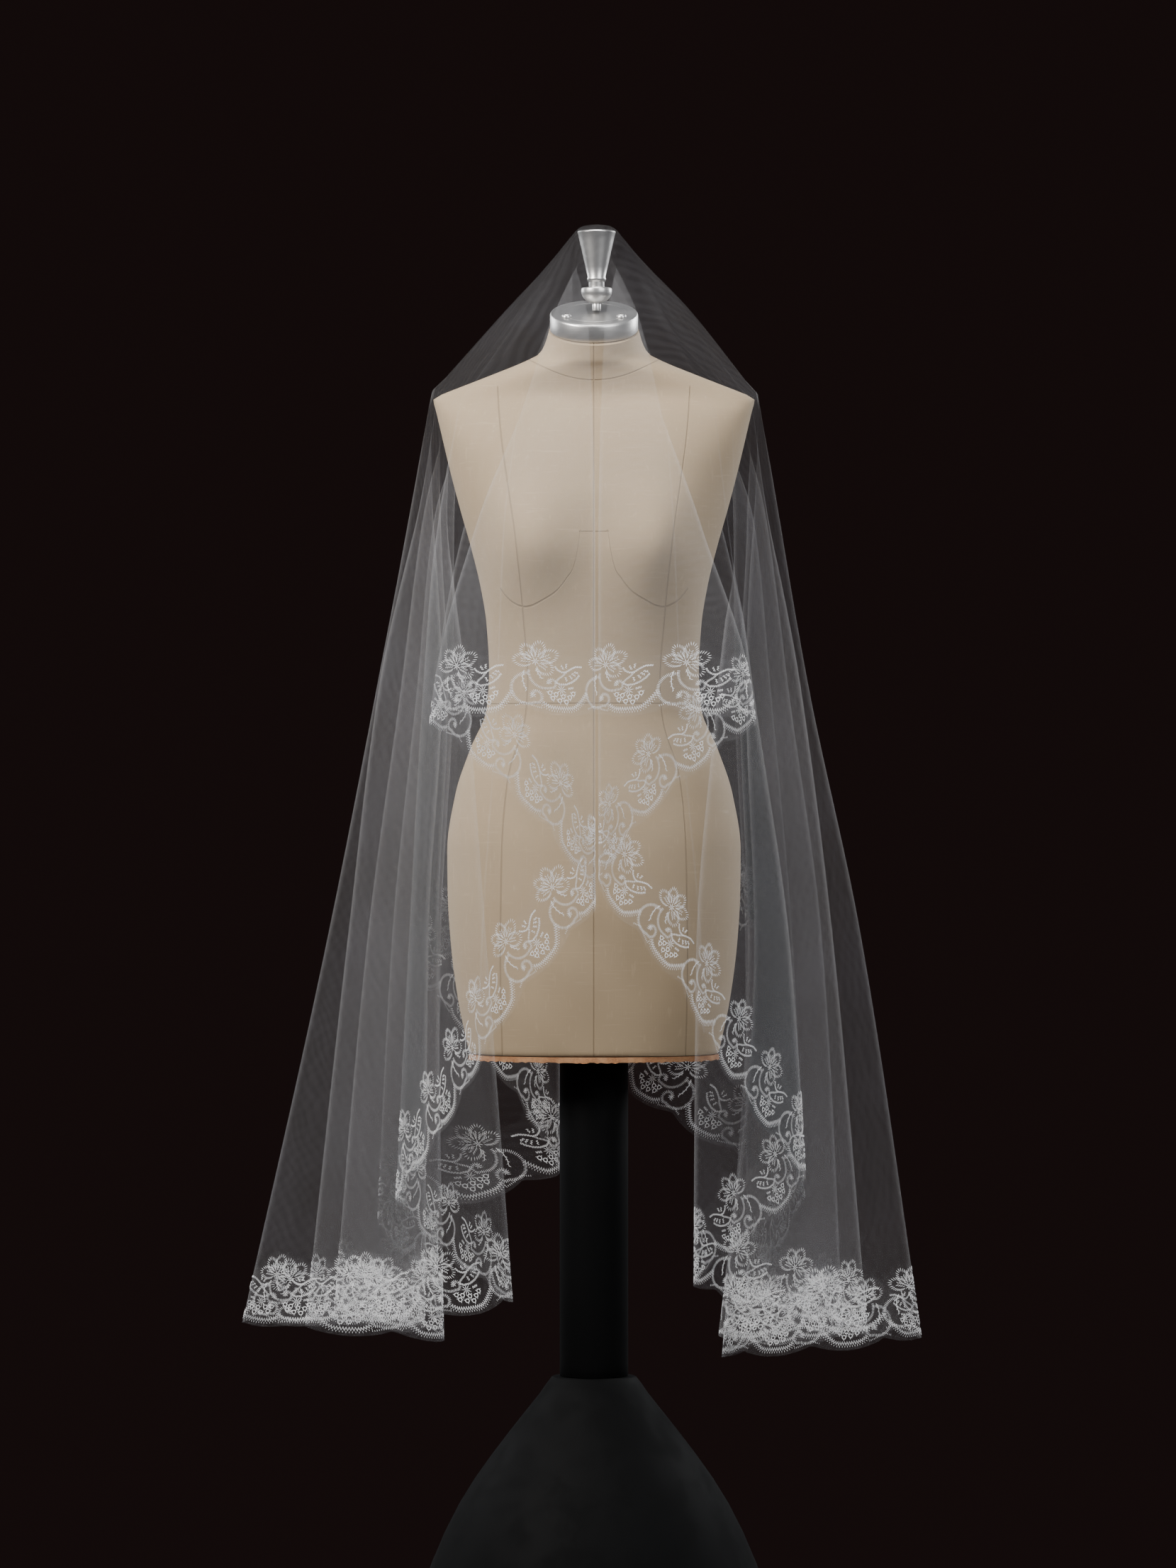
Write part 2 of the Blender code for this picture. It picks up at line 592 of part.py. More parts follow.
# The torso's sections, from its bottom edge up to the plate, in metres. Square is 2 for an oval, more for a
# flatter side. Lean is the share of the plate's tilt that a section takes.
Section = namedtuple("Section", "z half_width front back square lean")
TORSO = (
    Section(TORSO_BOTTOM_Z, 0.1457, -0.098, 0.112, 2.1, 0.0),
    Section(0.8000, 0.1590, -0.107, 0.121, 2.1, 0.0),
    Section(0.8675, 0.1677, -0.112, 0.126, 2.1, 0.0),
    Section(0.9250, 0.1712, -0.114, 0.126, 2.1, 0.0),
    Section(0.9750, 0.1718, -0.113, 0.122, 2.1, 0.0),
    Section(1.0420, 0.1620, -0.106, 0.108, 2.1, 0.0),
    Section(1.0950, 0.1444, -0.096, 0.091, 2.1, 0.0),
    Section(1.1410, 0.1257, -0.088, 0.077, 2.1, 0.0),
    Section(1.1850, 0.1228, -0.090, 0.078, 2.1, 0.0),
    Section(1.2400, 0.1258, -0.097, 0.087, 2.1, 0.0),
    Section(1.2850, 0.1330, -0.103, 0.096, 2.1, 0.0),
    Section(1.3300, 0.1440, -0.107, 0.104, 2.1, 0.0),
    Section(1.3760, 0.1570, -0.105, 0.110, 2.2, 0.0),
    Section(1.4200, 0.1685, -0.095, 0.110, 2.3, 0.0),
    Section(1.4600, 0.1780, -0.077, 0.100, 2.4, 0.0),
    Section(1.4880, 0.1845, -0.056, 0.080, 2.4, 0.0),
    Section(1.5030, 0.1880, -0.038, 0.056, 2.3, 0.0),
    Section(1.5120, 0.1700, -0.036, 0.050, 2.2, 0.0),
    Section(1.5230, 0.1420, -0.038, 0.049, 2.1, 0.0),
    Section(1.5350, 0.1120, -0.041, 0.048, 2.1, 0.1),
    Section(1.5460, 0.0850, -0.045, 0.048, 2.0, 0.3),
    Section(1.5560, 0.0640, -0.049, 0.048, 2.0, 0.6),
    Section(1.5680, 0.0570, -0.051, 0.048, 2.0, 0.9),
    Section(NECK_TOP_Z, 0.0525, -0.0545, 0.0465, 2.0, 1.0),
)
TORSO_COLUMNS = 36
TORSO_SHARP = math.radians(50)
BOARD_GROW = 0.0015
BUST_OUT = 0.082
BUST_Z = 1.330
BUST_RISE = 0.033
BUST_WIDE = 0.052
BUST_TALL = 0.060


def torso_ring(section, grow=0.0):
    """The points round one section of the torso."""
    ring = []
    for k in range(TORSO_COLUMNS):
        a = 2 * math.pi * k / TORSO_COLUMNS
        c, s = math.cos(a), math.sin(a)
        x = (section.half_width + grow) * math.copysign(abs(c) ** (2 / section.square), c)
        depth = section.back if s > 0 else -section.front
        y = (depth + grow) * math.copysign(abs(s) ** (2 / section.square), s)
        if s < 0:
            beside = (abs(x) - BUST_OUT) / BUST_WIDE
            above = (section.z - BUST_Z) / BUST_TALL
            y -= BUST_RISE * math.exp(-beside**2 - above**2) * abs(s) ** 0.5
        middle = (section.front + section.back) / 2
        z = section.z + section.lean * math.tan(PLATE_TILT) * (y - middle)
        ring.append((x, y, z))
    return ring


def torso(finish, home):
    """The form's body, a closed loft through its sections."""
    points, faces = [], []
    for section in TORSO:
        points += torso_ring(section)
    n = TORSO_COLUMNS
    for row in range(len(TORSO) - 1):
        for k in range(n):
            a, b = row * n + k, row * n + (k + 1) % n
            faces.append((a, b, b + n, a + n))
    faces.append(tuple(range(n - 1, -1, -1)))
    faces.append(tuple(range((len(TORSO) - 1) * n, len(TORSO) * n)))
    mesh = bpy.data.meshes.new("torso")
    mesh.from_pydata(points, [], faces)
    mesh.shade_smooth()
    mesh.set_sharp_from_angle(angle=TORSO_SHARP)
    mesh.materials.append(finish)
    piece = bpy.data.objects.new("torso", mesh)
    home.objects.link(piece)
    return piece


def bottom_board(finish, home):
    """The thin board that closes the torso's lower edge."""
    ring = torso_ring(TORSO[0], grow=BOARD_GROW)
    under = TORSO_BOTTOM_Z - SEAM_GAP
    mesh = bpy.data.meshes.new("bottom_board")
    built = bmesh.new()
    edge = [built.verts.new((x, y, under)) for x, y, _ in ring]
    face = built.faces.new(edge)
    made = bmesh.ops.extrude_face_region(built, geom=[face])
    down = [item for item in made["geom"] if isinstance(item, bmesh.types.BMVert)]
    bmesh.ops.translate(built, verts=down, vec=(0.0, 0.0, -BOARD_THICKNESS))
    bmesh.ops.recalc_face_normals(built, faces=built.faces[:])
    built.to_mesh(mesh)
    built.free()
    mesh.materials.append(finish)
    piece = bpy.data.objects.new("bottom_board", mesh)
    home.objects.link(piece)
    return piece


def neck_hardware(steel, home):
    """The tilted plate with its two screws, and the stud, knob and finial that stand on it."""
    half = PLATE_BAND / 2
    plate = turned(
        "neck_plate",
        (
            (0.0, half),
            (PLATE_RADIUS - PLATE_EDGE, half),
            (PLATE_RADIUS, half - PLATE_EDGE),
            (PLATE_RADIUS, -half),
            (0.0, -half),
        ),
        steel,
        home,
    )
    plate.location = (0.0, PLATE_Y, PLATE_Z)
    plate.rotation_euler = (PLATE_TILT, 0.0, 0.0)
    for side, x in (("left", -SCREW_SPACING), ("right", SCREW_SPACING)):
        head = turned(
            f"plate_screw_{side}",
            SCREW_HEAD,
            steel,
            home,
        )
        head.location = (
            x,
            PLATE_Y - SCREW_FORWARD * math.cos(PLATE_TILT) - half * math.sin(PLATE_TILT),
            PLATE_Z - SCREW_FORWARD * math.sin(PLATE_TILT) + half * math.cos(PLATE_TILT),
        )
        head.rotation_euler = (PLATE_TILT, 0.0, 0.0)
    top = PLATE_Z + half / math.cos(PLATE_TILT) + (FINIAL_Y - PLATE_Y) * math.tan(PLATE_TILT)
    lift = STUD_RADIUS * math.tan(PLATE_TILT) + SEAM_GAP
    knob_low, knob_high = KNOB_Z - KNOB_HEIGHT / 2, KNOB_Z + KNOB_HEIGHT / 2
    stud = turned(
        "stud",
        ((0.0, knob_low), (STUD_RADIUS, knob_low), (STUD_RADIUS, top + lift), (0.0, top + lift)),
        steel,
        home,
    )
    bowl = [
        (KNOB_RADIUS * math.cos(a), knob_high - BOWL_BAND - (KNOB_HEIGHT - BOWL_BAND) * math.sin(a))
        for a in (math.radians(step) for step in BOWL_STEPS)
    ]
    knob = turned(
        "ball_knob",
        ((0.0, knob_high), (KNOB_RADIUS - 0.001, knob_high), *bowl, (0.0, knob_low + SEAM_GAP)),
        steel,
        home,
    )
    finial = turned(
        "finial",
        (
            (0.0, FINIAL_TOP_Z),
            (FINIAL_TOP_RADIUS - EDGE_BREAK, FINIAL_TOP_Z),
            (FINIAL_TOP_RADIUS, FINIAL_TOP_Z - EDGE_BREAK),
            (FINIAL_LOW_RADIUS + LIP_OUT / 2, FINIAL_LOW_Z + LIP_HEIGHT),
            (FINIAL_LOW_RADIUS + LIP_OUT, FINIAL_LOW_Z + LIP_HEIGHT * 0.6),
            (FINIAL_LOW_RADIUS, FINIAL_LOW_Z),
            (FINIAL_LOW_RADIUS, knob_high + SEAM_GAP),
            (0.0, knob_high + SEAM_GAP),
        ),
        steel,
        home,
    )
    for piece in (stud, knob, finial):
        piece.location = (FINIAL_X, FINIAL_Y, 0.0)


def stand(black, home):
    """The round column and the bell-shaped base."""
    column_top = TORSO_BOTTOM_Z - BOARD_THICKNESS - 2 * SEAM_GAP
    turned(
        "column",
        (
            (0.0, column_top),
            (COLUMN_RADIUS, column_top),
            (COLUMN_RADIUS, BASE_TOP_Z + SEAM_GAP),
            (0.0, BASE_TOP_Z + SEAM_GAP),
        ),
        black,
        home,
    )
    bell = [(0.0, BASE_TOP_Z), (COLUMN_RADIUS + 0.008, BASE_TOP_Z)]
    bell += BELL
    bell += [(BASE_RADIUS, 0.012), (BASE_RADIUS - 0.004, 0.0), (0.0, 0.0)]
    turned("base", bell, black, home)


def build():
    for old in list(bpy.data.objects):
        bpy.data.objects.remove(old, do_unlink=True)
    home = bpy.data.collections.new("bridal_veil_on_a_dress_form")
    bpy.context.scene.collection.children.link(home)
    tulle = material("tulle", COLOUR["tulle"], 0.55)
    lace = material("lace", COLOUR["lace"], 0.45)
    canvas = material("canvas", COLOUR["canvas"], 0.75)
    board = material("board", COLOUR["board"], 0.80)
    steel = material("steel", COLOUR["steel"], 0.30, 1.0)
    black = material("black", COLOUR["black"], 0.60)
    crown(tulle, home)
    for name, first, last in STRETCHES:
        tulle_stretch(f"tulle_{name}", first, last, tulle, home)
        edging_stretch(f"edging_{name}", first, last, lace, home)
    torso(canvas, home)
    bottom_board(board, home)
    neck_hardware(steel, home)
    stand(black, home)


build()
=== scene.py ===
"""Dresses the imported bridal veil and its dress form: sheer tulle, embroidered edging, canvas and metal.

The front of the form faces -Y and +Z is up. The veil is one flat sheet whose points have a flat angle round
the crown and a distance from it, and the drape table says where each fold line of it hangs.
"""

import math
from collections import namedtuple

import bpy
import numpy as np
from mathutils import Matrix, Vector


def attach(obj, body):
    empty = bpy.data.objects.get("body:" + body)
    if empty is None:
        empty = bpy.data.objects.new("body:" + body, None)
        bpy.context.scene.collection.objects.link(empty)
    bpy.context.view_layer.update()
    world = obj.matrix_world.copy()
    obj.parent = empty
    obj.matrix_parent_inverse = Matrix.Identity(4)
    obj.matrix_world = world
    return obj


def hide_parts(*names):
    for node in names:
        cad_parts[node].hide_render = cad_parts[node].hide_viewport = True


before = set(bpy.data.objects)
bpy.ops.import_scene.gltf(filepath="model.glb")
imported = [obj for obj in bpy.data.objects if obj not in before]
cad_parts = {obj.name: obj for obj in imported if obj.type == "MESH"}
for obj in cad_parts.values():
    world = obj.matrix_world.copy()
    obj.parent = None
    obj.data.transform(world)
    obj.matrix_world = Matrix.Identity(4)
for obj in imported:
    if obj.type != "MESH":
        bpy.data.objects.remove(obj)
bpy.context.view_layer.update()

bl_info = {
    "name": "Bridal veil on a dress form",
    "version": (1, 0, 0),
    "blender": (4, 5, 0),
    "location": "3D View > Sidebar > Veil",
    "description": "Builds the veil, its embroidered edging, the dress form and the studio",
    "category": "Object",
}


# The flat sheet, in metres: its drops from the crown, its half width and its round corners.
FRONT_DROP = 0.628
BACK_DROP = 0.880
HALF_WIDTH = 1.385
OFF_CENTRE = 0.008
FRONT_CORNER = 0.600
BACK_CORNER = 0.700
CORNER_STEPS = 40

# The edging: its depth, the length of one motif and how deep its scallops are.
EDGING_DEPTH = 0.095
MOTIF_LENGTH = 0.088
SCALLOP_DEPTH = 0.010

# The gap between neighbouring solids.
SEAM_GAP = 0.0003

# The radius of a fold's turn, at the crown and from the shoulders down.
TURN_AT_CROWN = 0.0012
TURN_BELOW = 0.0042
TURN_FULL_FROM = 0.30

# A fold turns by at least this much, and right round once its two sides meet this sharply. It never takes up
# more than this share of the cloth beside it.
LEAST_TURN = math.radians(12.0)
BLUNT_BEND = 0.30
SHARP_BEND = 0.80
TURN_SHARE_OF_PANEL = 0.42

# How strongly the cloth between two folds keeps the direction in which it leaves each of them.
LEG_FULLNESS = 0.75

# The dress form.
FINIAL_TOP_Z = 1.700
FINIAL_X = 0.003
FINIAL_Y = -0.008
FINIAL_TOP_RADIUS = 0.0225
FINIAL_LOW_RADIUS = 0.0092
FINIAL_LOW_Z = 1.640
KNOB_RADIUS = 0.0180
KNOB_Z = 1.6240
KNOB_HEIGHT = 0.0190
STUD_RADIUS = 0.0050
PLATE_RADIUS = 0.0515
PLATE_TILT = math.radians(21.0)
PLATE_Z = 1.5943
PLATE_Y = -0.004
PLATE_BAND = 0.0220
PLATE_EDGE = 0.0030
SCREW_SPACING = 0.032
SCREW_FORWARD = 0.018
BOARD_THICKNESS = 0.0060
TORSO_BOTTOM_Z = 0.7370
COLUMN_RADIUS = 0.0400
BASE_TOP_Z = 0.3600

# Where the sheet's crown is, and how the cloth rounds over the finial: distance along it and radius.
CROWN_Z = 1.7075
CROWN_ROUND = (
    (0.0, 0.0),
    (0.010, 0.00996),
    (0.018, 0.01775),
    (0.024, 0.0228),
    (0.030, 0.0267),
    (0.052, 0.0405),
)

# The distances along the cloth at which the drape table gives each fold line's place.
LEVEL = {
    "neck": 0.15,
    "shoulder": 0.282,
    "bust": 0.42,
    "waist": 0.62,
    "hip": 0.92,
    "hem": 1.46,
}
# The cloth bends sharply over the tip of the shoulder, within this distance of that level.
SHOULDER_BEND = 0.014

# The steps of the drape along the cloth, where they end, and the step that a facing is measured over.
DRAPE_STEP = 0.005
DRAPE_END = 1.50
FACING_STEP = 0.0015

# A row is a line down the cloth. At each level it says how far out from the middle and how far back from
# the column the line hangs, in millimetres. A fold turns the cloth round, and a swell only bends it.
Line = namedtuple("Line", "name angle fold neck shoulder bust waist hip hem")
FRONT_MIDDLE = Line(
    "front middle", 0.0, False, (0, -77), (0, -128), (0, -172), (0, -182), (0, -182), (0, -182)
)
BACK_MIDDLE = Line("back middle", 173.0, False, (0, 84), (0, 130), (0, 156), (0, 170), (0, 180), (0, 184))
LEFT = (
    Line(
        "panel edge", 18.5, True,
        (46, -75), (82, -123), (130, -163), (180, -172), (203, -172), (222, -172),
    ),
    Line("centre fold", 42.0, True, (9, -62), (5, -115), (3, -157), (3, -163), (2, -164), (2, -164)),
    Line(
        "chest swell", 53.0, False,
        (56, -56), (90, -104), (104, -149), (112, -154), (130, -150), (140, -140),
    ),
    Line("second edge", 63.5, True, (86, -38), (156, -76), (178, -96), (194, -90), (211, -80), (238, -74)),
    Line("inner fold", 75.0, True, (92, -28), (166, -54), (171, -72), (151, -92), (128, -104), (88, -98)),
    Line("side edge", 85.5, True, (98, -14), (183, -22), (204, -32), (246, -32), (283, -30), (342, -30)),
    Line("side tuck", 93.0, True, (102, -6), (191, -3), (190, -6), (182, -2), (198, 2), (203, 8)),
    Line("outline", 102.0, True, (103, 2), (191, 12), (212, 22), (249, 35), (307, 45), (424, 55)),
    Line("back tuck", 110.5, True, (98, 12), (180, 30), (184, 44), (176, 58), (188, 70), (180, 80)),
    Line("back side edge", 117.0, True, (93, 22), (171, 44), (198, 62), (224, 78), (264, 92), (312, 104)),
    Line("back inner fold", 123.5, True, (78, 27), (157, 59), (169, 77), (171, 93), (186, 108), (190, 120)),
    Line(
        "second back edge", 130.0, True,
        (70, 36), (144, 78), (186, 104), (206, 114), (236, 126), (262, 138),
    ),
    Line("back centre fold", 138.5, True, (28, 69), (38, 113), (44, 138), (45, 146), (45, 154), (45, 158)),
    Line(
        "back panel edge", 155.5, True,
        (48, 75), (96, 120), (150, 147), (186, 156), (210, 166), (222, 170),
    ),
)
RIGHT = (
    Line(
        "panel edge", 17.5, True,
        (50, -75), (76, -123), (119, -163), (177, -172), (200, -172), (220, -172),
    ),
    Line("centre fold", 40.5, True, (15, -62), (11, -115), (9, -157), (9, -163), (9, -164), (9, -164)),
    Line(
        "chest swell", 51.0, False,
        (54, -56), (84, -104), (92, -149), (100, -154), (124, -150), (136, -140),
    ),
    Line("second edge", 61.0, True, (84, -42), (140, -84), (155, -110), (182, -98), (224, -86), (256, -78)),
    Line("inner fold", 70.0, True, (88, -31), (160, -64), (164, -84), (146, -98), (122, -108), (118, -102)),
    Line("side edge", 81.0, True, (103, -14), (184, -22), (202, -32), (237, -32), (275, -30), (322, -30)),
    Line("side tuck", 89.5, True, (110, -6), (193, -3), (189, -6), (182, -2), (192, 2), (142, 8)),
    Line("outline", 98.0, True, (111, 2), (193, 12), (213, 22), (247, 35), (309, 45), (390, 55)),
    Line("back tuck", 108.5, True, (105, 12), (184, 30), (184, 44), (176, 58), (186, 70), (152, 80)),
    Line("back side edge", 116.5, True, (95, 22), (172, 44), (200, 62), (226, 78), (266, 92), (295, 104)),
    Line("back inner fold", 123.0, True, (78, 27), (157, 59), (169, 77), (171, 93), (184, 108), (186, 120)),
    Line(
        "second back edge", 134.0, True,
        (70, 36), (144, 78), (186, 104), (206, 114), (232, 126), (256, 138),
    ),
    Line("back centre fold", 146.0, True, (20, 68), (26, 113), (32, 138), (34, 146), (36, 154), (38, 158)),
    Line(
        "back panel edge", 168.0, True,
        (48, 75), (96, 120), (148, 147), (184, 156), (196, 166), (206, 170),
    ),
)

CROWN_EDGE = 0.046
STRETCHES = (("front", 28, 32), ("left", 2, 13), ("back", 13, 17), ("right", 17, 28))

# Soft creases between the fold lines. Line is the fold line they follow, counted from the front middle
# towards the wearer's right hand, share is how far they lie towards the next one at their top and their
# foot, top and foot are distances from the crown, and depth and width are in millimetres.
Crease = namedtuple("Crease", "line share_top share_foot top foot depth width")
CREASES = (
    Crease(0, 0.45, 0.55, 0.20, 0.60, 1.2, 26),
    Crease(1, 0.50, 0.40, 0.30, 0.75, 1.6, 24),
    Crease(3, 0.55, 0.35, 0.45, 1.00, 3.0, 26),
    Crease(5, 0.40, 0.55, 0.30, 1.40, 3.2, 24),
    Crease(5, 0.75, 0.80, 0.70, 1.50, 2.6, 18),
    Crease(7, 0.40, 0.60, 0.25, 1.50, 3.4, 26),
    Crease(8, 0.55, 0.45, 0.35, 1.50, 4.0, 30),
    Crease(8, 0.25, 0.20, 0.80, 1.50, 2.4, 18),
    Crease(9, 0.50, 0.60, 0.45, 1.50, 3.0, 26),
    Crease(10, 0.45, 0.55, 0.40, 1.40, 3.0, 24),
    Crease(12, 0.50, 0.45, 0.35, 1.20, 3.0, 30),
    Crease(14, 0.50, 0.50, 0.30, 0.90, 2.2, 30),
    Crease(15, 0.55, 0.45, 0.40, 0.90, 2.4, 30),
    Crease(17, 0.45, 0.50, 0.40, 1.20, 3.0, 28),
    Crease(19, 0.50, 0.45, 0.40, 1.40, 3.0, 24),
    Crease(20, 0.50, 0.60, 0.40, 1.50, 3.0, 28),
    Crease(21, 0.40, 0.50, 0.35, 1.50, 3.6, 28),
    Crease(21, 0.75, 0.78, 0.80, 1.50, 2.4, 18),
    Crease(22, 0.55, 0.40, 0.30, 1.50, 3.4, 26),
    Crease(24, 0.40, 0.50, 0.50, 1.40, 3.0, 24),
    Crease(24, 0.72, 0.70, 0.30, 1.10, 2.0, 18),
    Crease(26, 0.45, 0.60, 0.45, 0.95, 2.6, 24),
    Crease(28, 0.50, 0.60, 0.30, 0.75, 1.6, 24),
    Crease(29, 0.55, 0.45, 0.22, 0.60, 1.2, 26),
)
CREASE_STRENGTH = 0.65

# The slow billow of the cloth between its folds, where it starts and over how much cloth it grows.
BILLOW = 0.0010
BILLOW_FROM = 0.3
BILLOW_OVER = 0.6

# How finely the cloth's sheets are made.
COLUMN_WIDTH = 0.0058
TURN_SHARES = (-1.0, -0.66, -0.33, 0.0, 0.33, 0.66, 1.0)
SHEET_ROWS = 58
ROW_SPREAD = 1.2
CROWN_ROWS = 8
EDGING_ROWS = 5

# The distance from the crown where folds begin to look denser, and over how much of it they grow.
FOLD_SHOWS_FROM = 0.10
FOLD_SHOWS_OVER = 0.25

# The edging's top edge over its flowers and between them, where the flowers lie along a motif, how wide they
# push it out and how round that bulge and the scallops are. Then a motif's length in the millimetres of its
# drawing, and the relief of its thread.
HIGH_TOP_EDGE = 0.0880
LOW_TOP_EDGE = 0.0685
FLOWER_AT = 0.815
BULGE_HALF_WIDTH = 0.33
ROUNDNESS = 0.8
MOTIF_SPAN = 88.0
THREAD_LIFT = 0.0003
THREAD_RISE = 0.0005


def smooth_steps(x, xs, ys):
    """Values at x of a smooth curve through the points xs, ys that never overshoots them."""
    xs, ys = np.asarray(xs, float), np.asarray(ys, float)
    h, d = np.diff(xs), np.diff(ys) / np.diff(xs)
    slope = np.zeros(len(xs))
    slope[0], slope[-1] = d[0], d[-1]
    for k in range(1, len(xs) - 1):
        if d[k - 1] * d[k] > 0:
            a, b = 2 * h[k] + h[k - 1], h[k] + 2 * h[k - 1]
            slope[k] = (a + b) / (a / d[k - 1] + b / d[k])
    x = np.clip(x, xs[0], xs[-1])
    k = np.clip(np.searchsorted(xs, x, side="right") - 1, 0, len(h) - 1)
    t = (x - xs[k]) / h[k]
    rise = ys[k] * (2 * t**3 - 3 * t**2 + 1) + ys[k + 1] * (3 * t**2 - 2 * t**3)
    return rise + h[k] * (slope[k] * (t**3 - 2 * t**2 + t) + slope[k + 1] * (t**3 - t**2))


def hem_outline():
    """The flat sheet's edge round its crown, as (length along it, x, y, outward x, outward y) points.

    It starts under the crown at the front edge, and goes round by the side of rising flat angles.
    """
    rows = []

    def corner(radius, x, y, start):
        for k in range(CORNER_STEPS + 1):
            a = start + math.pi / 2 * k / CORNER_STEPS
            rows.append((x + radius * math.sin(a), y + radius * math.cos(a), math.sin(a), math.cos(a)))

    left, right = HALF_WIDTH - OFF_CENTRE, HALF_WIDTH + OFF_CENTRE
    rows.append((0.0, FRONT_DROP, 0.0, 1.0))
    corner(FRONT_CORNER, left - FRONT_CORNER, FRONT_DROP - FRONT_CORNER, 0.0)
    corner(BACK_CORNER, left - BACK_CORNER, BACK_CORNER - BACK_DROP, math.pi / 2)
    rows.append((0.0, -BACK_DROP, 0.0, -1.0))
    corner(BACK_CORNER, BACK_CORNER - right, BACK_CORNER - BACK_DROP, math.pi)
    corner(FRONT_CORNER, FRONT_CORNER - right, FRONT_DROP - FRONT_CORNER, 3 * math.pi / 2)
    rows.append((0.0, FRONT_DROP, 0.0, 1.0))
    rows = np.array(rows)
    length = np.concatenate(([0.0], np.cumsum(np.hypot(*np.diff(rows[:, :2], axis=0).T))))
    return np.column_stack((length, rows))


HEM = hem_outline()
HEM_LENGTH = float(HEM[-1, 0])
MOTIFS = round(HEM_LENGTH / MOTIF_LENGTH)


def hem_at(angle, inset):
    """(distance from the crown, length along the hem) where a ray meets the edge set in by inset."""
    x, y = HEM[:, 1] - inset * HEM[:, 3], HEM[:, 2] - inset * HEM[:, 4]
    rays = np.degrees(np.unwrap(np.arctan2(x, y)))
    angle = np.asarray(angle, float) % 360.0
    k = np.clip(np.searchsorted(rays, angle, side="right") - 1, 0, len(rays) - 2)
    across, ahead = np.cos(np.radians(angle)), -np.sin(np.radians(angle))
    start = x[k] * across + y[k] * ahead
    end = x[k + 1] * across + y[k + 1] * ahead
    along = np.clip(start / np.where(np.abs(start - end) < 1e-12, 1.0, start - end), 0.0, 1.0)
    reach = np.hypot(x[k] + along * (x[k + 1] - x[k]), y[k] + along * (y[k + 1] - y[k]))
    return reach, HEM[k, 0] + along * (HEM[k + 1, 0] - HEM[k, 0])


def all_lines():
    """Every line of the drape in order round the sheet, its angle, side and row, starting at the front."""
    lines = [(0.0, -1.0, FRONT_MIDDLE)]
    lines += [(row.angle, -1.0, row) for row in LEFT]
    lines += [(BACK_MIDDLE.angle, -1.0, BACK_MIDDLE)]
    lines += [(360.0 - row.angle, 1.0, row) for row in reversed(RIGHT)]
    return lines


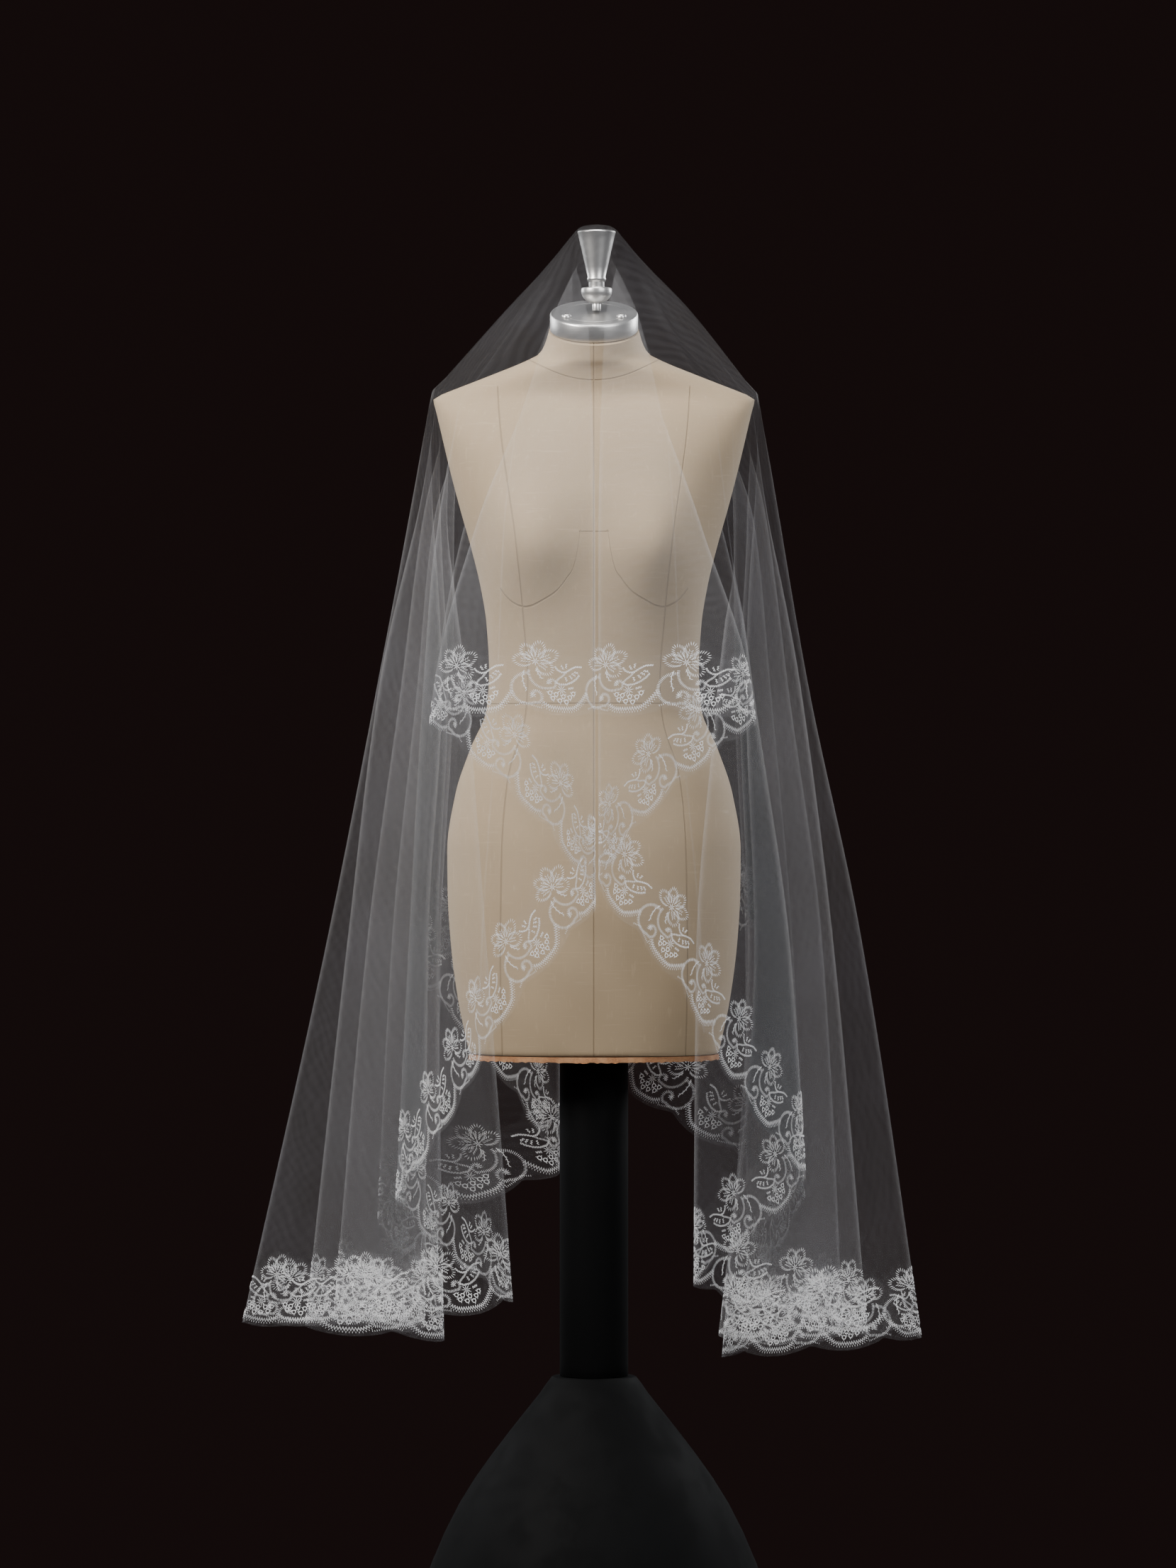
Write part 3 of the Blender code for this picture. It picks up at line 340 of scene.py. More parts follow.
class Drape:
    """Where every point of the sheet hangs."""

    def __init__(self):
        lines = all_lines()
        self.count = len(lines)
        self.angle = np.array([a for a, _, _ in lines])
        self.fold = np.array([row.fold for _, _, row in lines])
        self.s = np.arange(0.0, DRAPE_END + DRAPE_STEP / 2, DRAPE_STEP)
        places = [self.hang(angle, side, row) for angle, side, row in lines]
        self.place = np.array(places)
        self.turn_radius = np.interp(self.s, (0.03, TURN_FULL_FROM), (TURN_AT_CROWN, TURN_BELOW))
        self.find_turns()

    def hang(self, angle, side, row):
        """One line's places: x and y from the table, and z from the cloth's own length."""
        a = math.radians(angle)
        knots = [0.0] + [s for s, _ in CROWN_ROUND[1:]] + list(LEVEL.values())
        xs = [FINIAL_X - r * math.sin(a) for _, r in CROWN_ROUND]
        ys = [FINIAL_Y - r * math.cos(a) for _, r in CROWN_ROUND]
        for name in LEVEL:
            out, back = getattr(row, name)
            xs.append(side * out / 1000)
            ys.append(back / 1000)
        bend = (LEVEL["shoulder"] - SHOULDER_BEND, LEVEL["shoulder"] + SHOULDER_BEND)
        close = np.sort(np.concatenate((knots, bend)))
        x = smooth_steps(self.s, close, np.interp(close, knots, xs))
        y = smooth_steps(self.s, close, np.interp(close, knots, ys))
        level = np.minimum(np.hypot(np.diff(x), np.diff(y)) / DRAPE_STEP, 0.995)
        fall = np.sqrt(1.0 - level**2) * DRAPE_STEP
        z = CROWN_Z - np.concatenate(([0.0], np.cumsum(fall)))
        return np.stack((x, y, z), axis=1)

    def find_turns(self):
        """The direction each fold's edge points in, the way across it, and how far round it turns."""
        plan = self.place[:, :, :2]
        into = plan - np.roll(plan, 1, axis=0)
        out = np.roll(plan, -1, axis=0) - plan
        into /= np.maximum(np.linalg.norm(into, axis=2, keepdims=True), 1e-6)
        out /= np.maximum(np.linalg.norm(out, axis=2, keepdims=True), 1e-6)
        edge = into - out
        bend = np.linalg.norm(edge, axis=2, keepdims=True)
        across = into + out
        across /= np.maximum(np.linalg.norm(across, axis=2, keepdims=True), 1e-6)
        side = np.stack((-across[:, :, 1], across[:, :, 0]), axis=2)
        side *= np.where((side * edge).sum(axis=2, keepdims=True) < 0, -1.0, 1.0)
        self.edge, self.across = side, across
        sharp = np.clip((bend[:, :, 0] / 2 - BLUNT_BEND) / (SHARP_BEND - BLUNT_BEND), 0.0, 1.0)
        sharp = sharp * sharp * (3 - 2 * sharp)
        self.turn = np.where(self.fold[:, None], LEAST_TURN + (math.pi / 2 - LEAST_TURN) * sharp, 0.0)

    def read(self, table, line, s):
        """A table's values on a line at distance s."""
        k = np.clip((s / DRAPE_STEP).astype(int), 0, len(self.s) - 2)
        t = s / DRAPE_STEP - k
        line = line % self.count
        if table.ndim == 3:
            t = t[..., None]
        return table[line, k] * (1 - t) + table[line, k + 1] * t

    def half_turn(self, line, s):
        """Half the flat angle that a fold's turn takes up, in degrees."""
        radius = np.interp(s, self.s, self.turn_radius)
        wide = np.degrees(radius * self.read(self.turn, line, s) / np.maximum(s, 0.01))
        line = line % self.count
        before = (self.angle[line] - self.angle[line - 1]) % 360
        after = (self.angle[(line + 1) % self.count] - self.angle[line]) % 360
        return np.minimum(wide, TURN_SHARE_OF_PANEL * np.minimum(before, after))

    def on_turn(self, line, share, s):
        """A point on a fold's turn, share from -1 to 1 round it."""
        radius = np.interp(s, self.s, self.turn_radius)
        full = self.read(self.turn, line, s)
        a = share * full
        point = self.read(self.place, line, s).copy()
        across = (radius * np.sin(a))[..., None] * self.read(self.across, line, s)
        edge = (radius * (np.cos(a) - np.cos(full)))[..., None] * self.read(self.edge, line, s)
        point[..., :2] += across + edge
        return point

    def leaving(self, line, share, s):
        """The plan direction of the cloth where it leaves a turn, share 1, or comes to one, share -1."""
        a = share * self.read(self.turn, line, s)
        across = self.read(self.across, line, s)
        edge = self.read(self.edge, line, s)
        return np.cos(a)[..., None] * across - np.sin(a)[..., None] * edge

    def at(self, angle, s):
        """The place of each point of the sheet, from its flat angle in degrees and distance."""
        angle = np.asarray(angle, float) % 360.0
        s = np.broadcast_to(np.asarray(s, float), angle.shape)
        line = np.searchsorted(self.angle, angle, side="right") - 1
        after = line + 1
        span = (self.angle[after % self.count] - self.angle[line]) % 360.0
        gone = angle - self.angle[line]
        first, last = self.half_turn(line, s), self.half_turn(after, s)
        share = gone / np.maximum(first, 1e-9)
        leaving = self.on_turn(line, np.minimum(share, 1.0), s)
        back_share = (gone - span) / np.maximum(last, 1e-9)
        coming = self.on_turn(after, np.maximum(back_share, -1.0), s)
        t = np.clip((gone - first) / np.maximum(span - first - last, 1e-9), 0.0, 1.0)[..., None]
        start, end = self.on_turn(line, np.ones_like(s), s), self.on_turn(after, -np.ones_like(s), s)
        chord = np.linalg.norm((end - start)[..., :2], axis=-1, keepdims=True)
        panel = start * (1 - t) + end * t
        flow = (t**3 - 2 * t**2 + t) * self.leaving(line, np.ones_like(s), s)
        flow += (t**3 - t**2) * self.leaving(after, -np.ones_like(s), s)
        ease = t * t * (3 - 2 * t)
        panel[..., :2] = (start * (1 - ease) + end * ease)[..., :2] + LEG_FULLNESS * chord * flow
        result = np.where((share < 1.0)[..., None], leaving, panel)
        return np.where((back_share > -1.0)[..., None], coming, result)

    def angles_of(self, columns, s):
        """The flat angle of each column at each distance s, an array that broadcasts with the columns."""
        line, turning, share = columns
        s = np.broadcast_to(s, np.broadcast_shapes(np.shape(s), line.shape))
        line = np.broadcast_to(line, s.shape)
        start = self.angle[line % self.count]
        before = self.half_turn(line, s)
        first = start + before
        span = (self.angle[(line + 1) % self.count] - start) % 360.0
        last = start + span - self.half_turn(line + 1, s)
        return np.where(turning, start + share * before, first + share * (last - first))

    def crease(self, line, t, s):
        """How far the soft creases push the cloth out between a line and the next one."""
        push = np.zeros(np.shape(s))
        room = np.clip(4 * t * (1 - t), 0.0, 1.0)
        width = np.linalg.norm(
            (self.read(self.place, line + 1, s) - self.read(self.place, line, s))[..., :2], axis=-1
        )
        for row in CREASES:
            here = (line % self.count) == row.line
            along = np.clip((s - row.top) / (row.foot - row.top), 0.0, 1.0)
            middle = row.share_top + (row.share_foot - row.share_top) * along
            middle = middle + 0.03 * np.sin(9.0 * s + 2.0 * row.line)
            reach = (t - middle) * width / (row.width / 1000 * (0.6 + 0.6 * along))
            grow = np.clip((s - row.top) / 0.10, 0.0, 1.0) * (0.35 + 0.65 * along)
            strength = here * CREASE_STRENGTH * row.depth / 1000 * grow
            push = push + strength * np.exp(-(reach**2)) * np.where(reach > 0, 1.0, 0.8)
        sway = np.sin(7.0 * s + 1.7 * line) + 0.6 * np.sin(15.0 * s + 2.9 * line + 5.0 * t)
        push = push + BILLOW * np.clip((s - BILLOW_FROM) / BILLOW_OVER, 0.0, 1.0) * sway
        return push * room * np.clip(width / 0.05, 0.0, 1.0)

    def surface(self, angle, s):
        """The place of each point of the dressed cloth, with its soft creases."""
        angle = np.asarray(angle, float) % 360.0
        s = np.broadcast_to(np.asarray(s, float), angle.shape)
        point = self.at(angle, s)
        line = np.searchsorted(self.angle, angle, side="right") - 1
        span = (self.angle[(line + 1) % self.count] - self.angle[line]) % 360.0
        first, last = self.half_turn(line, s), self.half_turn(line + 1, s)
        t = np.clip((angle - self.angle[line] - first) / np.maximum(span - first - last, 1e-9), 0.0, 1.0)
        chord = (self.read(self.place, line + 1, s) - self.read(self.place, line, s))[..., :2]
        chord /= np.maximum(np.linalg.norm(chord, axis=-1, keepdims=True), 1e-6)
        out = np.stack((chord[..., 1], -chord[..., 0]), axis=-1)
        point[..., :2] -= out * self.crease(line, t, s)[..., None]
        return point

    def facing(self, angle, s):
        """The unit direction that the sheet's right side faces at each point."""
        turn = np.degrees(FACING_STEP / np.maximum(s, 0.02))
        across = self.surface(angle + turn, s) - self.surface(angle - turn, s)
        down = self.surface(angle, s + FACING_STEP) - self.surface(angle, np.maximum(s - FACING_STEP, 0.0))
        normal = np.cross(across, down)
        return normal / np.maximum(np.linalg.norm(normal, axis=-1, keepdims=True), 1e-9)


DRAPE = Drape()


def scallop(length):
    """How far the edging's outer edge is set in at a length along the hem."""
    round_motif = np.abs(np.sin(np.pi * length * MOTIFS / HEM_LENGTH))
    return SCALLOP_DEPTH * (1.0 - round_motif**ROUNDNESS)


def top_contour(length):
    """How far in the edging's top edge lies: it bulges over each flower and dips between them."""
    place = (length * MOTIFS / HEM_LENGTH) % 1.0
    off = np.abs((place - FLOWER_AT + 0.5) % 1.0 - 0.5)
    bulge = np.clip(1.0 - (off / BULGE_HALF_WIDTH) ** 2, 0.0, 1.0) ** ROUNDNESS
    return LOW_TOP_EDGE + (HIGH_TOP_EDGE - LOW_TOP_EDGE) * bulge


def ray_ends(columns, inset_of):
    """(flat angle, distance, length along the hem) where columns meet the edge set in by inset_of(length)."""
    s = np.ones(columns[0].shape)
    length = np.zeros(columns[0].shape)
    for _ in range(10):
        angle = DRAPE.angles_of(columns, s)
        s, length = hem_at_insets(angle, inset_of(length))
    return angle, s, length


def hem_at_insets(angle, inset):
    """(distance from the crown, length along the hem) where rays meet the edge set in by each inset."""
    s_low, length_low = hem_at(angle, 0.0)
    s_high, length_high = hem_at(angle, EDGING_DEPTH)
    share = inset / EDGING_DEPTH
    around = (length_high - length_low + HEM_LENGTH / 2) % HEM_LENGTH - HEM_LENGTH / 2
    return s_low + share * (s_high - s_low), (length_low + share * around) % HEM_LENGTH


def sheet_columns():
    """Every column of the sheet once round, as arrays of line, whether it is on a turn, and share."""
    ends = [float(hem_at(np.array([DRAPE.angle[k]]), 0.0)[1][0]) for k in range(DRAPE.count)]
    rows = []
    for line in range(DRAPE.count):
        if DRAPE.fold[line]:
            rows += [(line, True, share) for share in TURN_SHARES]
        else:
            rows.append((line, True, 0.0))
        gap = (ends[(line + 1) % DRAPE.count] - ends[line]) % HEM_LENGTH
        count = max(6, round(gap / COLUMN_WIDTH))
        rows += [(line, False, k / count) for k in range(1, count)]
    return tuple(np.array(column) for column in zip(*rows))


def fold_mask(columns):
    """How near the bend of a fold each column is, 1 on the bend itself."""
    _, turning, share = columns
    return np.where(turning, np.cos(np.radians(72.0 * share)), 0.0)


def new_mesh_object(name, points, faces, finish):
    """A smooth mesh object at the origin, of the given points, faces and material."""
    mesh = bpy.data.meshes.new(name)
    mesh.from_pydata(np.asarray(points, float).tolist(), [], faces)
    mesh.update()
    mesh.shade_smooth()
    mesh.materials.append(finish)
    piece = bpy.data.objects.new(name, mesh)
    bpy.context.scene.collection.objects.link(piece)
    return piece


def paint_points(piece, name, values):
    """A named number on each point of a piece, for its material to read."""
    mark = piece.data.attributes.new(name, "FLOAT", "POINT")
    mark.data.foreach_set("value", np.asarray(values, np.float32).ravel())


def lay_flat(piece, name, flat):
    """A UV map that holds each point's place on the flat cut, in metres."""
    layer = piece.data.uv_layers.new(name=name)
    corner = np.zeros(len(piece.data.loops), np.int32)
    piece.data.loops.foreach_get("vertex_index", corner)
    layer.uv.foreach_set("vector", np.asarray(flat, np.float32)[corner].ravel())


def joined_rings(rows, count, start=0):
    """The point numbers of some closed rings of count points, and the quads that join each to the next."""
    rings = [range(start + row * count, start + (row + 1) * count) for row in range(rows)]
    faces = []
    for one, other in zip(rings, rings[1:]):
        for k in range(count):
            after = (k + 1) % count
            faces.append((one[k], one[after], other[after], other[k]))
    return rings, faces


def flat_place(angle, s):
    """Where a point lies on the flat cut, in metres."""
    a = np.radians(angle)
    return np.stack((s * np.sin(a), s * np.cos(a)), axis=-1)


def cut_area(piece, name):
    """The area of a piece on the flat cut, and the width and length that it is cut from."""
    layer = np.zeros(len(piece.data.loops) * 2, np.float32)
    piece.data.uv_layers[name].uv.foreach_get("vector", layer)
    flat = layer.reshape(-1, 2).astype(float)
    area = 0.0
    for face in piece.data.polygons:
        corners = flat[face.loop_start : face.loop_start + face.loop_total]
        after = np.roll(corners, -1, axis=0)
        area += abs((corners[:, 0] * after[:, 1] - corners[:, 1] * after[:, 0]).sum()) / 2
    size = flat.max(axis=0) - flat.min(axis=0)
    return area, size


def cloth_piece(name, rows, crowned, finish):
    """A piece of cloth from its rows of flat angles, distances and fold marks, the highest row first.

    A crowned piece closes above its first row, in the sheet's middle point.
    """
    start = 1 if crowned else 0
    rings, faces = joined_rings(len(rows), len(rows[0][0]), start)
    if crowned:
        top = rings[0]
        rows = [(np.zeros(1), np.zeros(1), np.zeros(1)), *rows]
        faces = [(0, top[(k + 1) % len(top)], top[k]) for k in range(len(top))] + faces
    points = np.concatenate([DRAPE.surface(angle, s) for angle, s, _ in rows])
    piece = new_mesh_object(name, points, faces, finish)
    lay_flat(piece, "flat_cut", np.concatenate([flat_place(angle, s) for angle, s, _ in rows]))
    paint_points(piece, "fold_edge", np.concatenate([fold for _, _, fold in rows]))
    return piece


def tulle_sheet(finish):
    """The whole sheet of tulle, from its crown down to the edging, as one cut piece."""
    columns = sheet_columns()
    _, end, _ = ray_ends(columns, top_contour)
    reaches = [np.full(len(end), share * CROWN_EDGE) for share in np.linspace(0.10, 1.0, CROWN_ROWS)]
    for k in range(SHEET_ROWS):
        reaches.append(CROWN_EDGE + ((k + 1) / SHEET_ROWS) ** ROW_SPREAD * (end - CROWN_EDGE))
    rows = []
    for s in reaches:
        shown = np.clip((s - FOLD_SHOWS_FROM) / FOLD_SHOWS_OVER, 0.0, 1.0)
        rows.append((DRAPE.angles_of(columns, s), s, fold_mask(columns) * shown))
    return cloth_piece("tulle_sheet", rows, True, finish)


def edging_net(finish):
    """The net of the edging, from its bulging top edge to its scallops."""
    columns = sheet_columns()
    rows = []
    for row in range(EDGING_ROWS + 1):
        share = row / EDGING_ROWS
        angle, s, _ = ray_ends(
            columns, lambda length: top_contour(length) * (1 - share) + scallop(length) * share
        )
        rows.append((angle, s, fold_mask(columns)))
    return cloth_piece("edging_net", rows, False, finish)


class Stitching:
    """Satin-stitched strokes of one motif, drawn in millimetres: x along the hem, y up from it."""

    def __init__(self):
        self.places, self.rise, self.along, self.faces = [], [], [], []

    def stroke(self, path, widths):
        """A raised stroke along a path, its width read off widths from one end to the other."""
        path = np.array(path, float)
        span = np.concatenate(([0.0], np.cumsum(np.hypot(*np.diff(path, axis=0).T))))
        width = np.interp(span / span[-1], np.linspace(0, 1, len(widths)), widths)
        way = np.gradient(path, axis=0)
        way /= np.maximum(np.linalg.norm(way, axis=1, keepdims=True), 1e-9)
        side = np.stack((-way[:, 1], way[:, 0]), axis=1) * width[:, None] / 2
        first = len(self.places)
        for k in range(len(path)):
            for across in (-1.0, 0.0, 1.0):
                self.places.append(path[k] + across * side[k])
                self.rise.append((1.0 - abs(across)) * min(1.0, 0.4 + width[k] / 2.0))
                self.along.append((span[k], across * width[k] / 2))
        for k in range(len(path) - 1):
            a = first + 3 * k
            self.faces += [(a, a + 1, a + 4, a + 3), (a + 1, a + 2, a + 5, a + 4)]

    def stitch(self, x, y, heading, length, width):
        """One plump stitch, pointed at both ends, across its middle point."""
        a = math.radians(heading)
        dx, dy = math.cos(a) * length / 2, math.sin(a) * length / 2
        self.stroke(((x - dx, y - dy), (x, y), (x + dx, y + dy)), (0.3 * width, 0.84 * width, 0.3 * width))

    def comb(self, path, length, pitch, width=0.85, lean=0.0, out=0.0):
        """Stitches side by side across a path, like the teeth of a comb."""
        path = np.array(path, float)
        span = np.concatenate(([0.0], np.cumsum(np.hypot(*np.diff(path, axis=0).T))))
        way = np.gradient(path, axis=0)
        for k, place in enumerate(np.arange(pitch / 2, span[-1], pitch)):
            x, y = (np.interp(place, span, path[:, axis]) for axis in (0, 1))
            dx, dy = (np.interp(place, span, way[:, axis]) for axis in (0, 1))
            a = math.atan2(dy, dx)
            heading = math.degrees(a) + 90.0 + (lean if k % 2 else -lean)
            reach = length * (1.0, 0.86, 0.94)[k % 3]
            self.stitch(x - out * math.sin(a), y + out * math.cos(a), heading, reach, width)

    def petal(self, x, y, heading, length, width):
        """A petal of stitches that lean out from its middle line, with an open space between them."""
        a = math.radians(heading)

        def lay(ahead, beside, lean, reach):
            self.stitch(
                x + ahead * math.cos(a) - beside * math.sin(a),
                y + ahead * math.sin(a) + beside * math.cos(a),
                heading + lean, reach, 0.85,
            )

        for side in (-1.0, 1.0):
            for k in range(9):
                share = 0.24 + 0.70 * k / 8
                beside = width / 2 * math.sin(math.pi * share**1.15) ** 0.7
                lay(share * length, side * beside, side * (58 - 4.5 * k), 4.4)
            for k in range(4):
                lay((0.27 + 0.11 * k) * length, side * 1.5, side * 34, 3.3)
        lay(0.97 * length, 0.0, 0.0, 4.2)

    def arc(self, x, y, radius, start, end, end_radius=None, steps=20):
        """Points along an arc or a spiral round a middle."""
        last = radius if end_radius is None else end_radius
        path = []
        for k in range(steps + 1):
            a = math.radians(start + (end - start) * k / steps)
            r = radius + (last - radius) * k / steps
            path.append((x + r * math.cos(a), y + r * math.sin(a)))
        return path

    def star(self, x, y, reach, count, width=0.9):
        """Stitches that point out from a middle."""
        for k in range(count):
            a = 360.0 * k / count + 12
            way = math.radians(a)
            far = reach * 0.62
            self.stitch(x + far * math.cos(way), y + far * math.sin(way), a, reach, width)

    def twig(self, path, leaves):
        """A thin stem with small stitches on both of its sides."""
        self.stroke(path, (0.8, 0.6))
        path = np.array(path, float)
        for k in range(leaves):
            place = (k + 0.7) / leaves * (len(path) - 1)
            x, y = (np.interp(place, np.arange(len(path)), path[:, axis]) for axis in (0, 1))
            here = min(int(place), len(path) - 2)
            way = math.degrees(math.atan2(*(path[here + 1] - path[here])[::-1]))
            side = 52 if k % 2 else -52
            a = math.radians(way + side)
            self.stitch(x + 1.1 * math.cos(a), y + 1.1 * math.sin(a), way + side, 2.3, 0.75)


def scallop_height(x):
    """How far the scalloped edge lies up from its lowest line, at x along a motif, in millimetres."""
    return 1000 * float(scallop(np.array([x / MOTIF_SPAN * HEM_LENGTH / MOTIFS]))[0])


def draw_motif():
    """One repeat of the edging: a flower, its two scrolls and twigs, a leaf sprig, rings and the border."""
    work = Stitching()
    # The open flower with five petals.
    flower = (16.0, 61.0)
    petals = ((172, 24, 13.5), (124, 23, 13.0), (74, 24, 14.0), (22, 27, 14.0), (-34, 22, 15.5))
    for heading, length, width in petals:
        work.petal(*flower, heading, length, width)
    work.star(*flower, 4.2, 7, 1.1)
    # The great scroll that drops from the flower, and the star in its eye.
    great = work.arc(5.5, 30.0, 18.0, 82, 292, 17.0, 30) + work.arc(13.5, 21.5, 8.6, -62, 200, 4.2, 18)
    work.comb(great, 4.1, 1.75, 0.8)
    work.star(11.5, 23.0, 2.9, 6)
    # The lesser scroll inside it, and its star.
    lesser = work.arc(26.5, 48.0, 18.5, 168, 286, 17.5, 20) + work.arc(32.0, 36.5, 6.2, -60, 190, 3.6, 14)
    work.comb(lesser, 3.6, 1.7, 0.8)
    work.star(30.5, 38.0, 2.8, 6)
    work.twig(((3.5, 51), (1.2, 44), (1.6, 36), (4.5, 28)), 9)
    work.twig(((16, 53), (18.5, 47), (22, 41.5)), 6)
    # The leaf sprig: its stem, two crescents and small leaves.
    upper = ((37, 56), (40, 52), (45, 49.5), (50, 50), (56, 54), (62, 57), (70, 57.5))
    lower = ((38, 38), (42, 35.5), (50, 36), (57, 39), (63, 43.5), (67, 48.5))
    work.comb(((37, 38), (41, 42), (46, 45.5), (50, 50)), 2.6, 1.5, 1.0)
    work.comb(upper, 2.5, 1.3, 1.15, lean=14)
    work.comb(lower, 2.7, 1.35, 1.05, lean=10)
    leaves = ((47, 53, 118), (50, 54.5, 82), (57, 49, -28), (54, 46.5, -48), (60, 51, -12), (49, 44.5, -70))
    for x, y, heading in leaves:
        a = math.radians(heading)
        work.comb(((x, y), (x + 5.5 * math.cos(a), y + 5.5 * math.sin(a))), 2.9, 1.3, 1.0, lean=26)
    # The rings below the sprig, round a star, each on its own spoke.
    hub = (44.0, 29.5)
    work.star(*hub, 5.4, 9)
    rings = (
        (30.5, 25.5), (33.5, 19.5), (37.5, 24.0), (41.5, 17.0), (46.0, 22.0), (49.5, 16.0), (54.0, 21.5),
        (58.5, 26.0),
    )
    for x, y in rings:
        work.stroke(work.arc(x, y, 2.35, 0, 360, steps=6), (1.0, 1.0))
        for turn in (40, 160, 280):
            a = math.radians(turn)
            work.stitch(x + 3.3 * math.cos(a), y + 3.3 * math.sin(a), turn, 2.0, 0.9)
    work.comb(((52, 31), (59, 33)), 3.0, 1.4, 1.0, lean=12)
    # The border: a row of long slanted teeth over a row of short ones, from one great scroll to the next.
    border = []
    for k in range(15):
        x = 20.5 + 57.0 * k / 14
        climb = max(0.0, (x - 58.0) / 19.5) ** 1.4 * 15.0
        drop = max(0.0, (30.0 - x) / 9.5) ** 1.3 * 3.5
        border.append((x, scallop_height(x) + 7.2 + climb + drop))
    work.comb(border, 5.6, 1.45, 0.75, lean=16, out=1.2)
    work.comb(border, 2.4, 2.9, 0.75, lean=0, out=-2.6)
    # Teeth that run on under the great scroll.
    under = [(x, scallop_height(x) + 5.2) for x in (-10, -5, 0, 5, 10, 15, 20)]
    work.comb(under, 2.4, 2.2, 0.7)
    return work


def hem_place(length, inset):
    """(flat angle, distance) of a point given by its length along the hem and how far in it is."""
    length = length % HEM_LENGTH
    x, y, out_x, out_y = (np.interp(length, HEM[:, 0], HEM[:, column]) for column in (1, 2, 3, 4))
    x, y = x - inset * out_x, y - inset * out_y
    return np.degrees(np.arctan2(x, y)) % 360.0, np.hypot(x, y)


def embroidery(name, first, last, finish):
    """The embroidery of the motifs whose middles lie between two fold lines."""
    work = draw_motif()
    places, rise = np.array(work.places), np.array(work.rise)
    along = np.array(work.along) / 1000
    long = HEM_LENGTH / MOTIFS
    points, faces, threads = [], [], []
    start, end = DRAPE.angle[first % DRAPE.count], DRAPE.angle[last % DRAPE.count]
    for motif in range(MOTIFS):
        middle, _ = hem_place(np.array([(motif + 0.5) * long]), np.array([0.04]))
        if (middle[0] - start) % 360.0 >= (end - start) % 360.0:
            continue
        base = sum(len(p) for p in points)
        length = (motif + 1) * long - places[:, 0] / MOTIF_SPAN * long
        angle, s = hem_place(length, places[:, 1] / 1000)
        lift = THREAD_LIFT + THREAD_RISE * rise
        points.append(DRAPE.surface(angle, s) + DRAPE.facing(angle, s) * lift[:, None])
        faces += [tuple(base + corner for corner in face) for face in work.faces]
        threads.append(along)
    piece = new_mesh_object(name, np.concatenate(points), faces, finish)
    lay_flat(piece, "thread", np.concatenate(threads))
    return piece


NECK_TOP_Z = PLATE_Z - PLATE_BAND / 2 / math.cos(PLATE_TILT) - SEAM_GAP / math.cos(PLATE_TILT)

# The torso's sections, from its bottom edge up to the plate, in metres. Square is 2 for an oval, more for a
# flatter side. Lean is the share of the plate's tilt that a section takes.
Section = namedtuple("Section", "z half_width front back square lean")
TORSO = (
    Section(TORSO_BOTTOM_Z, 0.1457, -0.098, 0.112, 2.1, 0.0),
    Section(0.8000, 0.1590, -0.107, 0.121, 2.1, 0.0),
    Section(0.8675, 0.1677, -0.112, 0.126, 2.1, 0.0),
    Section(0.9250, 0.1712, -0.114, 0.126, 2.1, 0.0),
    Section(0.9750, 0.1718, -0.113, 0.122, 2.1, 0.0),
    Section(1.0420, 0.1620, -0.106, 0.108, 2.1, 0.0),
    Section(1.0950, 0.1444, -0.096, 0.091, 2.1, 0.0),
    Section(1.1410, 0.1257, -0.088, 0.077, 2.1, 0.0),
    Section(1.1850, 0.1228, -0.090, 0.078, 2.1, 0.0),
    Section(1.2400, 0.1258, -0.097, 0.087, 2.1, 0.0),
    Section(1.2850, 0.1330, -0.103, 0.096, 2.1, 0.0),
    Section(1.3300, 0.1440, -0.107, 0.104, 2.1, 0.0),
    Section(1.3760, 0.1570, -0.105, 0.110, 2.2, 0.0),
    Section(1.4200, 0.1685, -0.095, 0.110, 2.3, 0.0),
    Section(1.4600, 0.1780, -0.077, 0.100, 2.4, 0.0),
    Section(1.4880, 0.1845, -0.056, 0.080, 2.4, 0.0),
    Section(1.5030, 0.1880, -0.038, 0.056, 2.3, 0.0),
    Section(1.5120, 0.1700, -0.036, 0.050, 2.2, 0.0),
    Section(1.5230, 0.1420, -0.038, 0.049, 2.1, 0.0),
    Section(1.5350, 0.1120, -0.041, 0.048, 2.1, 0.1),
    Section(1.5460, 0.0850, -0.045, 0.048, 2.0, 0.3),
    Section(1.5560, 0.0640, -0.049, 0.048, 2.0, 0.6),
    Section(1.5680, 0.0570, -0.051, 0.048, 2.0, 0.9),
    Section(NECK_TOP_Z, 0.0525, -0.0545, 0.0465, 2.0, 1.0),
)
TORSO_COLUMNS = 128
TORSO_ROWS = 150
TORSO_CREASE = math.radians(50.0)
BUST_OUT = 0.082
BUST_Z = 1.330
BUST_RISE = 0.033
BUST_WIDE = 0.052
BUST_TALL = 0.060


def torso_ring(section, grow=0.0):
    """The points round one section of the torso."""
    ring = []
    for k in range(TORSO_COLUMNS):
        a = 2 * math.pi * k / TORSO_COLUMNS
        c, s = math.cos(a), math.sin(a)
        x = (section.half_width + grow) * math.copysign(abs(c) ** (2 / section.square), c)
        depth = section.back if s > 0 else -section.front
        y = (depth + grow) * math.copysign(abs(s) ** (2 / section.square), s)
        if s < 0:
            beside = (abs(x) - BUST_OUT) / BUST_WIDE
            above = (section.z - BUST_Z) / BUST_TALL
            y -= BUST_RISE * math.exp(-beside**2 - above**2) * abs(s) ** 0.5
        middle = (section.front + section.back) / 2
        z = section.z + section.lean * math.tan(PLATE_TILT) * (y - middle)
        ring.append((x, y, z))
    return ring


